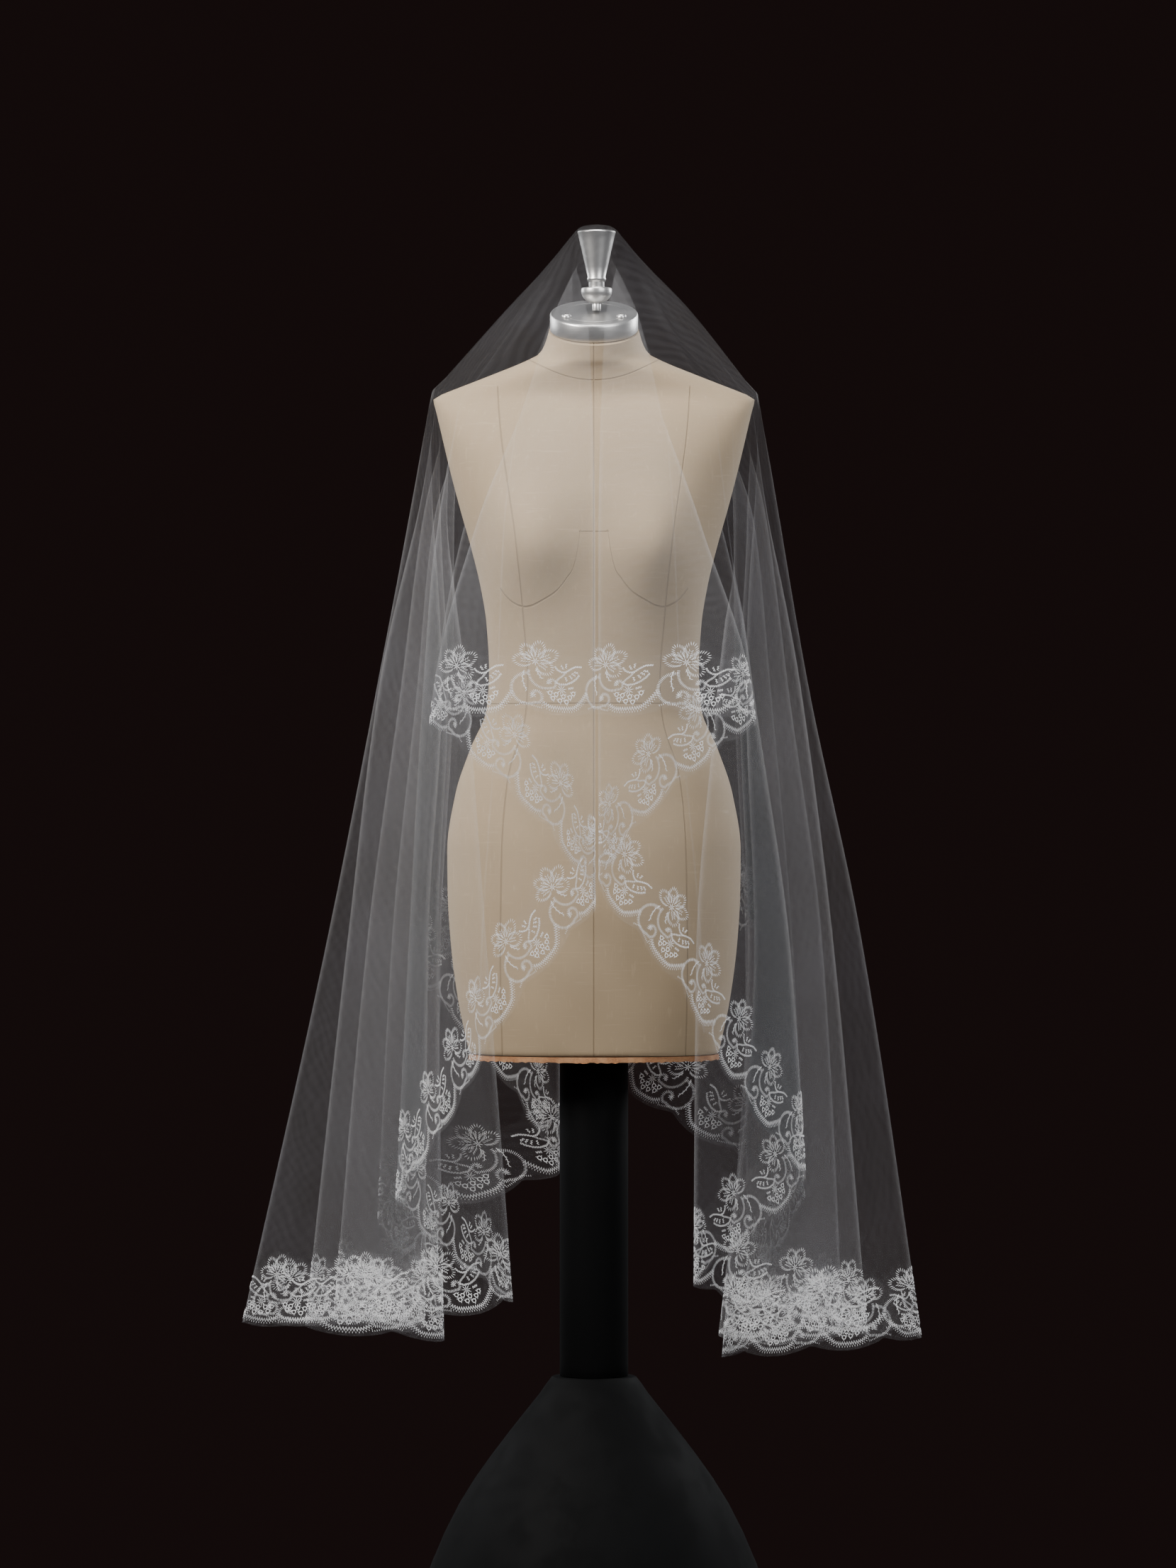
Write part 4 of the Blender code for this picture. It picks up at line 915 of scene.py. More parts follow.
# The lower edge: the corners of its ovals, how far the lining's top and the board's top lie under the torso's
# edge, how far each is set out from it, and the lining's drop, thickness and raggedness.
OVAL_CORNERS = 220
OVAL_DROP = 0.0004
LINING_OUT = 0.0004
BOARD_OUT = -0.0022
LINING_DROP = 0.0062
LINING_THICKNESS = 0.0005
LINING_RAGS = 0.0010

# The turned pieces' profiles: radius and height, from below upwards.
PLATE_PROFILE = (
    (PLATE_RADIUS - 0.0015, -PLATE_BAND / 2),
    (PLATE_RADIUS, -PLATE_BAND / 2 + 0.0015),
    (PLATE_RADIUS, PLATE_BAND / 2 - PLATE_EDGE),
    (PLATE_RADIUS - 0.0011, PLATE_BAND / 2 - 0.0009),
    (PLATE_RADIUS - PLATE_EDGE, PLATE_BAND / 2),
    (0.0375, PLATE_BAND / 2),
    (0.0367, PLATE_BAND / 2 - 0.0006),
    (0.0359, PLATE_BAND / 2),
)
SCREW_PROFILE = ((0.0058, 0.0003), (0.0056, 0.0016), (0.0044, 0.0034), (0.0028, 0.0042))
STUD_FOOT_Z = (
    PLATE_Z + PLATE_BAND / 2 / math.cos(PLATE_TILT) + (FINIAL_Y - PLATE_Y) * math.tan(PLATE_TILT)
    + STUD_RADIUS * math.tan(PLATE_TILT) + SEAM_GAP
)
KNOB_LOW_Z = KNOB_Z - KNOB_HEIGHT / 2
KNOB_HIGH_Z = KNOB_Z + KNOB_HEIGHT / 2
STUD_PROFILE = ((STUD_RADIUS, STUD_FOOT_Z), (STUD_RADIUS, KNOB_LOW_Z))
KNOB_PROFILE = (
    (0.0056, KNOB_LOW_Z + SEAM_GAP),
    *(
        (KNOB_RADIUS * math.cos(math.radians(a)), KNOB_HIGH_Z - 0.004 - 0.015 * math.sin(math.radians(a)))
        for a in range(68, -1, -6)
    ),
    (KNOB_RADIUS, KNOB_HIGH_Z - 0.0016),
    (KNOB_RADIUS - 0.0010, KNOB_HIGH_Z),
)
FINIAL_PROFILE = (
    (FINIAL_LOW_RADIUS, KNOB_HIGH_Z + SEAM_GAP),
    (FINIAL_LOW_RADIUS, FINIAL_LOW_Z),
    (FINIAL_LOW_RADIUS + 0.0014, FINIAL_LOW_Z + 0.0016),
    (FINIAL_LOW_RADIUS + 0.0020, FINIAL_LOW_Z + 0.0036),
    (FINIAL_LOW_RADIUS + 0.0012, FINIAL_LOW_Z + 0.0060),
    (0.0131, 1.6580),
    (0.0164, 1.6730),
    (0.0198, 1.6880),
    (FINIAL_TOP_RADIUS - 0.0008, 1.6965),
    (FINIAL_TOP_RADIUS, 1.6984),
    (FINIAL_TOP_RADIUS - 0.0012, FINIAL_TOP_Z),
    (FINIAL_TOP_RADIUS - 0.0035, FINIAL_TOP_Z),
    (FINIAL_TOP_RADIUS - 0.0045, FINIAL_TOP_Z - 0.0008),
)
COLUMN_PROFILE = (
    (COLUMN_RADIUS, BASE_TOP_Z + SEAM_GAP),
    (COLUMN_RADIUS, TORSO_BOTTOM_Z - BOARD_THICKNESS - 0.0010),
)
BASE_PROFILE = (
    (0.2210, 0.0),
    (0.2250, 0.0035),
    (0.2250, 0.0120),
    (0.2228, 0.0350),
    (0.2120, 0.0700),
    (0.2030, 0.1050),
    (0.1905, 0.1400),
    (0.1752, 0.1760),
    (0.1580, 0.2100),
    (0.1395, 0.2400),
    (0.1195, 0.2680),
    (0.0990, 0.2950),
    (0.0800, 0.3190),
    (0.0640, 0.3390),
    (0.0550, 0.3520),
    (0.0500, 0.3585),
    (0.0480, BASE_TOP_Z),
)


def new_group(name, inputs, outputs):
    """An empty shader group with the given (name, kind, default) inputs and (name, kind) outputs."""
    group = bpy.data.node_groups.new(name, "ShaderNodeTree")
    for label, kind, default in inputs:
        socket = group.interface.new_socket(name=label, in_out="INPUT", socket_type=kind)
        if default is not None:
            socket.default_value = default
    for label, kind in outputs:
        group.interface.new_socket(name=label, in_out="OUTPUT", socket_type=kind)
    return group, group.nodes.new("NodeGroupInput"), group.nodes.new("NodeGroupOutput")


def sheen(shader, weight, roughness):
    """The soft gloss of cloth."""
    shader.inputs["Sheen Weight"].default_value = weight
    shader.inputs["Sheen Roughness"].default_value = roughness


class Nodes:
    """Short ways to add and join nodes in one tree."""

    def __init__(self, tree):
        self.tree = tree

    def join(self, source, target):
        self.tree.links.new(source, target)

    def feed(self, socket, value):
        if isinstance(value, bpy.types.NodeSocket):
            self.join(value, socket)
        elif value is not None:
            socket.default_value = value

    def maths(self, operation, a, b=None, c=None):
        node = self.tree.nodes.new("ShaderNodeMath")
        node.operation = operation
        for socket, value in zip(node.inputs, (a, b, c)):
            self.feed(socket, value)
        return node.outputs[0]

    def mapped(self, vector, scale=(1.0, 1.0, 1.0), turn=(0.0, 0.0, 0.0)):
        node = self.tree.nodes.new("ShaderNodeMapping")
        self.join(vector, node.inputs["Vector"])
        node.inputs["Scale"].default_value = scale
        node.inputs["Rotation"].default_value = turn
        return node.outputs["Vector"]

    def noise(self, vector, scale, detail=3.0, roughness=0.5):
        node = self.tree.nodes.new("ShaderNodeTexNoise")
        self.join(vector, node.inputs["Vector"])
        self.feed(node.inputs["Scale"], scale)
        node.inputs["Detail"].default_value = detail
        node.inputs["Roughness"].default_value = roughness
        return node.outputs["Fac"]

    def wave(self, vector, scale, distortion=0.0, detail_scale=1.0):
        node = self.tree.nodes.new("ShaderNodeTexWave")
        node.bands_direction = "X"
        self.join(vector, node.inputs["Vector"])
        self.feed(node.inputs["Scale"], scale)
        node.inputs["Distortion"].default_value = distortion
        node.inputs["Detail"].default_value = 1.0
        node.inputs["Detail Scale"].default_value = detail_scale
        return node.outputs["Fac"]

    def ranged(self, value, low, high, to_low=0.0, to_high=1.0):
        node = self.tree.nodes.new("ShaderNodeMapRange")
        node.interpolation_type = "SMOOTHSTEP"
        for socket, put in zip(node.inputs, (value, low, high, to_low, to_high)):
            self.feed(socket, put)
        return node.outputs["Result"]

    def mixed(self, share, a, b):
        node = self.tree.nodes.new("ShaderNodeMix")
        node.data_type = "RGBA"
        self.feed(node.inputs["Factor"], share)
        self.feed(node.inputs["A"], a)
        self.feed(node.inputs["B"], b)
        return node.outputs["Result"]

    def bump(self, height, distance, strength):
        node = self.tree.nodes.new("ShaderNodeBump")
        self.join(height, node.inputs["Height"])
        node.inputs["Distance"].default_value = distance
        node.inputs["Strength"].default_value = strength
        return node.outputs["Normal"]

    def group(self, made, **values):
        node = self.tree.nodes.new("ShaderNodeGroup")
        node.node_tree = made
        for label, value in values.items():
            self.feed(node.inputs[label.replace("_", " ")], value)
        return node

    def object_place(self):
        return self.tree.nodes.new("ShaderNodeTexCoord").outputs["Object"]

    def flat_place(self, name):
        node = self.tree.nodes.new("ShaderNodeUVMap")
        node.uv_map = name
        return node.outputs["UV"]

    def mark(self, name):
        node = self.tree.nodes.new("ShaderNodeAttribute")
        node.attribute_name = name
        return node.outputs["Fac"]


def plain_finish(name, colour, roughness, metallic=0.0):
    """A Principled material, its nodes' helper and its shader."""
    finish = bpy.data.materials.new(name)
    finish.use_nodes = True
    shader = finish.node_tree.nodes["Principled BSDF"]
    shader.inputs["Base Color"].default_value = (*colour, 1.0)
    shader.inputs["Roughness"].default_value = roughness
    shader.inputs["Metallic"].default_value = metallic
    return finish, Nodes(finish.node_tree), shader


# A wave texture of scale 1 repeats over this distance, in metres.
WAVE_REPEAT = 0.314159

# The ways the net's threads run, and the pitch of its slow bands and of the satin stitch.
NET_TURNS = (32.0, -32.0, 90.0)
BAND_PITCH = 0.011
SATIN_PITCH = 0.00055


def net_group():
    """Three sets of fine threads with open cells between them, as a mask of thread."""
    group, given, result = new_group(
        "open_net",
        (
            ("Place", "NodeSocketVector", None),
            ("Pitch", "NodeSocketFloat", 0.0012),
            ("Thread", "NodeSocketFloat", 0.3),
        ),
        (("Mask", "NodeSocketFloat"),),
    )
    n = Nodes(group)
    scale = n.maths("DIVIDE", WAVE_REPEAT, given.outputs["Pitch"])
    edge = n.maths("SUBTRACT", 1.0, given.outputs["Thread"])
    sets = []
    for turn in NET_TURNS:
        place = n.mapped(given.outputs["Place"], turn=(0.0, 0.0, math.radians(turn)))
        low, high = n.maths("SUBTRACT", edge, 0.25), n.maths("ADD", edge, 0.2)
        sets.append(n.ranged(n.wave(place, scale), low, high))
    both = n.maths("MAXIMUM", n.maths("MAXIMUM", sets[0], sets[1]), n.maths("MULTIPLY", sets[2], 0.6))
    n.join(both, result.inputs["Mask"])
    return group


def weave_group():
    """A plain weave of two thread directions, as a height and a mask of slubs."""
    group, given, result = new_group(
        "plain_weave",
        (
            ("Place", "NodeSocketVector", None),
            ("Pitch", "NodeSocketFloat", 0.0009),
        ),
        (("Height", "NodeSocketFloat"), ("Slub", "NodeSocketFloat")),
    )
    n = Nodes(group)
    scale = n.maths("DIVIDE", WAVE_REPEAT, given.outputs["Pitch"])
    place = given.outputs["Place"]
    upright = n.wave(place, scale, distortion=0.6, detail_scale=2.0)
    upended = n.mapped(place, turn=(0.0, math.radians(90.0), 0.0))
    level = n.wave(upended, scale, distortion=0.6, detail_scale=2.0)
    n.join(n.maths("MULTIPLY", n.maths("ADD", upright, level), 0.5), result.inputs["Height"])
    streak = n.noise(n.mapped(place, scale=(260.0, 260.0, 40.0)), 1.0, 2.0)
    cross = n.noise(n.mapped(place, scale=(30.0, 30.0, 420.0)), 1.0, 2.0)
    n.join(n.ranged(n.maths("MAXIMUM", streak, cross), 0.60, 0.76), result.inputs["Slub"])
    return group


def dust_group():
    """Soft uneven patches, for handling marks and dust."""
    group, given, result = new_group(
        "uneven_patches",
        (("Place", "NodeSocketVector", None), ("Scale", "NodeSocketFloat", 12.0)),
        (("Mask", "NodeSocketFloat"),),
    )
    n = Nodes(group)
    fine = n.noise(given.outputs["Place"], given.outputs["Scale"], 5.0, 0.6)
    n.join(n.ranged(fine, 0.35, 0.70), result.inputs["Mask"])
    return group


def tulle_finish(name, groups, colour, pitch, thread, open_alpha, thread_alpha, fold_alpha):
    """Sheer white net whose density follows its threads, its folds and a slow unevenness."""
    finish, n, shader = plain_finish(name, colour, 0.55)
    flat = n.flat_place("flat_cut")
    net = n.group(groups["net"], Place=flat, Pitch=pitch, Thread=thread).outputs["Mask"]
    bands = n.wave(n.mapped(flat, turn=(0.0, 0.0, math.radians(62.0))), WAVE_REPEAT / BAND_PITCH, 7.0, 0.6)
    patches = n.group(groups["dust"], Place=flat, Scale=9.0).outputs["Mask"]
    density = n.maths("MULTIPLY_ADD", net, thread_alpha - open_alpha, open_alpha)
    density = n.maths("MULTIPLY", density, n.ranged(bands, 0.0, 1.0, 0.86, 1.14))
    density = n.maths("MULTIPLY", density, n.ranged(patches, 0.0, 1.0, 0.90, 1.12))
    fold = n.maths("POWER", n.mark("fold_edge"), 2.0)
    density = n.maths("MULTIPLY_ADD", fold, fold_alpha, density)
    n.join(density, shader.inputs["Alpha"])
    sheen(shader, 0.6, 0.4)
    shader.inputs["Sheen Tint"].default_value = (1.0, 1.0, 1.0, 1.0)
    cool = (colour[0] * 0.96, colour[1] * 0.96, colour[2], 1.0)
    n.join(n.mixed(patches, (*colour, 1.0), cool), shader.inputs["Base Color"])
    n.join(n.bump(net, 0.0002, 0.4), shader.inputs["Normal"])
    return finish


def thread_finish(name, colour):
    """Shiny white embroidery thread in satin stitch across each stroke, with painted shade in the grooves
    between its stitches.
    """
    finish, n, shader = plain_finish(name, colour, 0.36)
    flat = n.flat_place("thread")
    stitch = n.wave(n.mapped(flat, turn=(0.0, 0.0, math.radians(12.0))), WAVE_REPEAT / SATIN_PITCH, 1.2, 3.0)
    n.join(n.bump(stitch, 0.00025, 0.8), shader.inputs["Normal"])
    # Painted shade: the thread is made darker where the stitch height is low, in the grooves between the
    # stitches.
    dark = tuple(c * 0.88 for c in colour)
    n.join(n.mixed(n.ranged(stitch, 0.0, 0.55), (*dark, 1.0), (*colour, 1.0)), shader.inputs["Base Color"])
    n.join(n.ranged(stitch, 0.2, 1.0, 0.50, 0.30), shader.inputs["Roughness"])
    sheen(shader, 0.35, 0.3)
    return finish


def curve_through(n, value, pairs):
    """A smooth value read off (input, output) pairs, both scaled to run from 0 to 1 first."""
    low, high = pairs[0][0], pairs[-1][0]
    node = n.tree.nodes.new("ShaderNodeFloatCurve")
    share = n.ranged(value, low, high)
    share.node.interpolation_type = "LINEAR"
    n.join(share, node.inputs["Value"])
    curve = node.mapping.curves[0]
    while len(curve.points) < len(pairs):
        curve.points.new(0.5, 0.5)
    ordered = sorted(((a - low) / (high - low), b / SEAM_REACH) for a, b in pairs)
    for point, (x, y) in zip(curve.points, ordered):
        point.location = (x, y)
    node.mapping.update()
    return n.maths("MULTIPLY", node.outputs[0], SEAM_REACH)


# The largest value that a curve through points can give.
SEAM_REACH = 0.2

# The canvas seams: the heights of the waist, of the short line between the busts and of the neck, which rises
# to its sides, how far down and up the panel and side seams go, and where the side seams lie. Then the panel
# seams' distance from the middle at each height, and a tenth of the cup seams' height at each distance.
WAIST_SEAM_Z = 1.146
BUST_SEAM_Z = 1.3445
NECK_SEAM_Z = 1.5235
NECK_SEAM_RISE = 4.5
SEAMS_LOW_Z = 0.7
PANEL_SEAM_HIGH_Z = 1.515
SIDE_SEAM_HIGH_Z = 1.44
SIDE_SEAM_Y = 0.004
SHOULDER_SEAM = (
    (0.735, 0.106), (0.90, 0.108), (1.05, 0.101), (1.146, 0.078), (1.25, 0.082),
    (1.33, 0.090), (1.40, 0.100), (1.46, 0.108), (1.53, 0.113),
)
UNDER_BUST_SEAM = (
    (0.016, 0.1345), (0.022, 0.131), (0.032, 0.1290), (0.055, 0.1268), (0.092, 0.1262), (0.12, 0.130),
)


def seam_line(n, distance, width):
    """A mask that is 1 on a line, from a signed distance to it."""
    return n.ranged(n.maths("ABSOLUTE", distance), width * 0.35, width, 1.0, 0.0)


def within(n, value, low, high, soft=0.004):
    """A mask that is 1 where a value lies between two limits."""
    return n.maths("MULTIPLY", n.ranged(value, low - soft, low), n.ranged(value, high, high + soft, 1.0, 0.0))


def canvas_finish(groups, colour):
    """Cream linen canvas with its sewn panel seams."""
    finish, n, shader = plain_finish("canvas", colour, 0.78)
    place = n.object_place()
    parts = n.tree.nodes.new("ShaderNodeSeparateXYZ")
    n.join(place, parts.inputs[0])
    x, y, z = parts.outputs
    beside = n.maths("ABSOLUTE", x)
    front = n.ranged(y, -0.02, 0.0, 1.0, 0.0)
    middle = seam_line(n, x, 0.0011)
    panel = seam_line(n, n.maths("SUBTRACT", beside, curve_through(n, z, SHOULDER_SEAM)), 0.0011)
    panel = n.maths("MULTIPLY", panel, within(n, z, SEAMS_LOW_Z, PANEL_SEAM_HIGH_Z))
    waist = seam_line(n, n.maths("SUBTRACT", z, WAIST_SEAM_Z), 0.0012)
    neck_curve = n.maths("MULTIPLY_ADD", n.maths("MULTIPLY", x, x), NECK_SEAM_RISE, NECK_SEAM_Z)
    neck = seam_line(n, n.maths("SUBTRACT", z, neck_curve), 0.0012)
    bust = seam_line(n, n.maths("SUBTRACT", z, BUST_SEAM_Z), 0.0010)
    bust = n.maths("MULTIPLY", n.maths("MULTIPLY", bust, within(n, beside, -1.0, 0.0165, 0.001)), front)
    under = n.maths("MULTIPLY", curve_through(n, beside, UNDER_BUST_SEAM), 10.0)
    under = seam_line(n, n.maths("SUBTRACT", z, under), 0.0016)
    under = n.maths("MULTIPLY", n.maths("MULTIPLY", under, within(n, beside, 0.0155, 0.108, 0.001)), front)
    side = seam_line(n, n.maths("SUBTRACT", y, SIDE_SEAM_Y), 0.0011)
    side = n.maths("MULTIPLY", side, within(n, z, SEAMS_LOW_Z, SIDE_SEAM_HIGH_Z))
    seams = middle
    for line in (panel, waist, neck, bust, under, side):
        seams = n.maths("MAXIMUM", seams, line)
    weave = n.group(groups["weave"], Place=place, Pitch=0.0011)
    patches = n.group(groups["dust"], Place=place, Scale=7.0).outputs["Mask"]
    warm = (colour[0] * 0.93, colour[1] * 0.91, colour[2] * 0.86, 1.0)
    tone = n.mixed(n.maths("MULTIPLY", patches, 0.35), (*colour, 1.0), warm)
    pale = tuple(min(1.0, c * 1.5) for c in colour)
    tone = n.mixed(n.maths("MULTIPLY", weave.outputs["Slub"], 0.18), tone, (*pale, 1.0))
    thread = (colour[0] * 0.45, colour[1] * 0.42, colour[2] * 0.36, 1.0)
    tone = n.mixed(n.maths("MULTIPLY", seams, 0.45), tone, thread)
    n.join(tone, shader.inputs["Base Color"])
    height = n.maths("SUBTRACT", n.maths("MULTIPLY", weave.outputs["Height"], 0.12), seams)
    n.join(n.bump(height, 0.0008, 0.7), shader.inputs["Normal"])
    n.join(n.ranged(weave.outputs["Slub"], 0.0, 1.0, 0.80, 0.62), shader.inputs["Roughness"])
    sheen(shader, 0.06, 0.5)
    return finish


def brushed_finish(groups, colour):
    """Satin metal with fine turned lines and a slightly uneven gloss."""
    finish, n, shader = plain_finish("brushed_metal", colour, 0.3, 1.0)
    place = n.object_place()
    lines = n.noise(n.mapped(place, scale=(30.0, 30.0, 2600.0)), 1.0, 3.0)
    patches = n.group(groups["dust"], Place=place, Scale=18.0).outputs["Mask"]
    gloss = n.maths("MULTIPLY_ADD", patches, 0.05, n.ranged(lines, 0.3, 0.8, 0.0, 0.05))
    n.join(n.maths("ADD", gloss, 0.33), shader.inputs["Roughness"])
    dull = tuple(c * 0.86 for c in colour)
    tone = n.mixed(n.maths("MULTIPLY", lines, 0.4), (*colour, 1.0), (*dull, 1.0))
    n.join(tone, shader.inputs["Base Color"])
    n.join(n.bump(lines, 0.00004, 0.25), shader.inputs["Normal"])
    return finish


def black_finish(groups, colour):
    """Matt black with a fine grain and a trace of dust."""
    finish, n, shader = plain_finish("matt_black", colour, 0.6)
    shader.inputs["Specular IOR Level"].default_value = 0.07
    place = n.object_place()
    grain = n.noise(place, 900.0, 2.0)
    patches = n.group(groups["dust"], Place=place, Scale=22.0).outputs["Mask"]
    dust = n.maths("MULTIPLY", patches, n.ranged(n.noise(place, 420.0, 4.0, 0.7), 0.55, 0.75))
    tone = n.mixed(n.maths("MULTIPLY", dust, 0.03), (*colour, 1.0), (0.05, 0.045, 0.045, 1.0))
    n.join(tone, shader.inputs["Base Color"])
    n.join(n.ranged(patches, 0.0, 1.0, 0.66, 0.74), shader.inputs["Roughness"])
    n.join(n.bump(grain, 0.0002, 0.3), shader.inputs["Normal"])
    return finish


def board_finish(groups, colour):
    """Brown fibre board with flecks."""
    finish, n, shader = plain_finish("fibre_board", colour, 0.85)
    place = n.object_place()
    fibre = n.noise(n.mapped(place, scale=(400.0, 400.0, 900.0)), 1.0, 4.0, 0.7)
    patches = n.group(groups["dust"], Place=place, Scale=30.0).outputs["Mask"]
    dark = (colour[0] * 0.6, colour[1] * 0.5, colour[2] * 0.5, 1.0)
    tone = n.mixed(n.ranged(fibre, 0.35, 0.7), dark, (*colour, 1.0))
    tone = n.mixed(n.maths("MULTIPLY", patches, 0.4), tone, (0.62, 0.38, 0.20, 1.0))
    n.join(tone, shader.inputs["Base Color"])
    n.join(n.ranged(fibre, 0.0, 1.0, 0.75, 0.95), shader.inputs["Roughness"])
    n.join(n.bump(fibre, 0.0005, 0.6), shader.inputs["Normal"])
    return finish


def shared_groups():
    """The shader groups that the finishes use, made once."""
    makers = {
        "net": ("open_net", net_group),
        "weave": ("plain_weave", weave_group),
        "dust": ("uneven_patches", dust_group),
    }
    return {key: bpy.data.node_groups.get(name) or make() for key, (name, make) in makers.items()}


def torso_rings():
    """The torso's sections, closely spaced and smoothly joined, each as a ring of points."""
    heights = np.array([row.z for row in TORSO])
    levels = np.linspace(heights[0], heights[-1], TORSO_ROWS)
    columns = [smooth_steps(levels, heights, [row[k] for row in TORSO]) for k in range(1, 6)]
    return [torso_ring(Section(z, *row)) for z, *row in zip(levels, *columns)]


def torso_cover(finish):
    """The canvas-covered body of the form, with its lower edge turned in."""
    rings = torso_rings()
    low = np.array(rings[0])
    turned_in = []
    for inset, drop in ((0.006, 0.0002), (0.002, 0.0008)):
        ring = low.copy()
        ring[:, :2] *= 1.0 - inset / np.linalg.norm(ring[:, :2], axis=1, keepdims=True)
        ring[:, 2] = low[:, 2] + drop - 0.0002
        turned_in.append(ring)
    low[:, 2] += 0.0025
    rings[0] = low
    rings = turned_in + rings
    numbers, faces = joined_rings(len(rings), TORSO_COLUMNS)
    faces.append(tuple(reversed(numbers[0])))
    faces.append(tuple(numbers[-1]))
    piece = new_mesh_object("torso_cover", np.concatenate([np.array(ring) for ring in rings]), faces, finish)
    piece.data.set_sharp_from_angle(angle=TORSO_CREASE)
    return piece


# The angles over which an edge is bevelled, and over which a made piece stays crisp.
BEVEL_FROM = math.radians(32.0)
CRISP_FROM = math.radians(40.0)


def worked(piece, name, kind, **settings):
    """A modifier of the given kind and settings, added to a piece and applied."""
    step = piece.modifiers.new(name, kind)
    for setting, value in settings.items():
        setattr(step, setting, value)
    bpy.ops.object.modifier_apply(modifier=step.name)


def turned_up(name, profile, finish, place=(0.0, 0.0, 0.0), tilt=0.0, bevel=0.0005, sides=96):
    """A round piece raised ring by ring from a circle, through a profile of radius and height."""
    radius, height = profile[0]
    bpy.ops.object.select_all(action="DESELECT")
    bpy.ops.mesh.primitive_circle_add(vertices=sides, radius=radius, fill_type="NGON")
    piece = bpy.context.object
    piece.name = name
    bpy.ops.object.mode_set(mode="EDIT")
    bpy.ops.mesh.select_all(action="SELECT")
    bpy.ops.transform.translate(value=(0.0, 0.0, height))
    for next_radius, next_height in profile[1:]:
        bpy.ops.mesh.extrude_region_move(TRANSFORM_OT_translate={"value": (0.0, 0.0, next_height - height)})
        wider = next_radius / radius
        bpy.ops.transform.resize(value=(wider, wider, 1.0), center_override=(0.0, 0.0, next_height))
        radius, height = next_radius, next_height
    bpy.ops.mesh.select_all(action="SELECT")
    bpy.ops.mesh.normals_make_consistent(inside=False)
    bpy.ops.object.mode_set(mode="OBJECT")
    worked(piece, "rounded_edges", "BEVEL", width=bevel, segments=2, angle_limit=BEVEL_FROM)
    piece.rotation_euler = (tilt, 0.0, 0.0)
    piece.location = place
    bpy.ops.object.transform_apply(location=True, rotation=True)
    bpy.ops.object.shade_smooth_by_angle(angle=CRISP_FROM)
    piece.data.materials.append(finish)
    return piece


def screw_head(name, finish, place):
    """A dished screw head with a square recess in it."""
    bpy.ops.object.select_all(action="DESELECT")
    bpy.ops.mesh.primitive_cube_add(size=0.0042, location=(0.0, 0.0, 0.0046))
    recess = bpy.context.object
    bpy.ops.object.transform_apply(location=True)
    head = turned_up(name, SCREW_PROFILE, finish, sides=48)
    worked(head, "recess", "BOOLEAN", object=recess, operation="DIFFERENCE")
    bpy.data.objects.remove(recess, do_unlink=True)
    head.rotation_euler = (PLATE_TILT, 0.0, 0.0)
    head.location = place
    bpy.ops.object.transform_apply(location=True, rotation=True)
    return head


def oval_edge(name, grow, filled):
    """A flat oval as wide as the torso's lower edge, left in edit mode with all of it selected."""
    low = TORSO[0]
    bpy.ops.object.select_all(action="DESELECT")
    fill = "NGON" if filled else "NOTHING"
    bpy.ops.mesh.primitive_circle_add(vertices=OVAL_CORNERS, radius=1.0, fill_type=fill)
    piece = bpy.context.object
    piece.name = name
    deep = (low.back - low.front) / 2 + grow
    bpy.ops.object.mode_set(mode="EDIT")
    bpy.ops.mesh.select_all(action="SELECT")
    bpy.ops.transform.resize(value=(low.half_width + grow, deep, 1.0), center_override=(0.0, 0.0, 0.0))
    bpy.ops.transform.translate(value=(0.0, (low.back + low.front) / 2, TORSO_BOTTOM_Z - OVAL_DROP))
    return piece


def lining_edge(finish):
    """The ragged edge of the brown lining that shows under the canvas."""
    edge = oval_edge("lining_edge", LINING_OUT, False)
    for seed in (3, 5):
        bpy.ops.mesh.extrude_region_move(TRANSFORM_OT_translate={"value": (0.0, 0.0, -LINING_DROP / 2)})
        bpy.ops.transform.vertex_random(offset=LINING_RAGS, uniform=0.2, normal=0.0, seed=seed)
    bpy.ops.object.mode_set(mode="OBJECT")
    worked(edge, "thickness", "SOLIDIFY", thickness=LINING_THICKNESS)
    bpy.ops.object.shade_smooth_by_angle(angle=TORSO_CREASE)
    edge.data.materials.append(finish)
    return edge


def bottom_board(finish):
    """The brown board that closes the torso from below, its edges eased."""
    board = oval_edge("closing_board", BOARD_OUT, True)
    bpy.ops.mesh.extrude_region_move(TRANSFORM_OT_translate={"value": (0.0, 0.0, -BOARD_THICKNESS)})
    bpy.ops.mesh.select_all(action="SELECT")
    bpy.ops.mesh.normals_make_consistent(inside=False)
    bpy.ops.object.mode_set(mode="OBJECT")
    worked(board, "eased_edges", "BEVEL", width=0.0009, segments=3)
    bpy.ops.object.shade_smooth_by_angle(angle=CRISP_FROM)
    board.data.materials.append(finish)
    return board


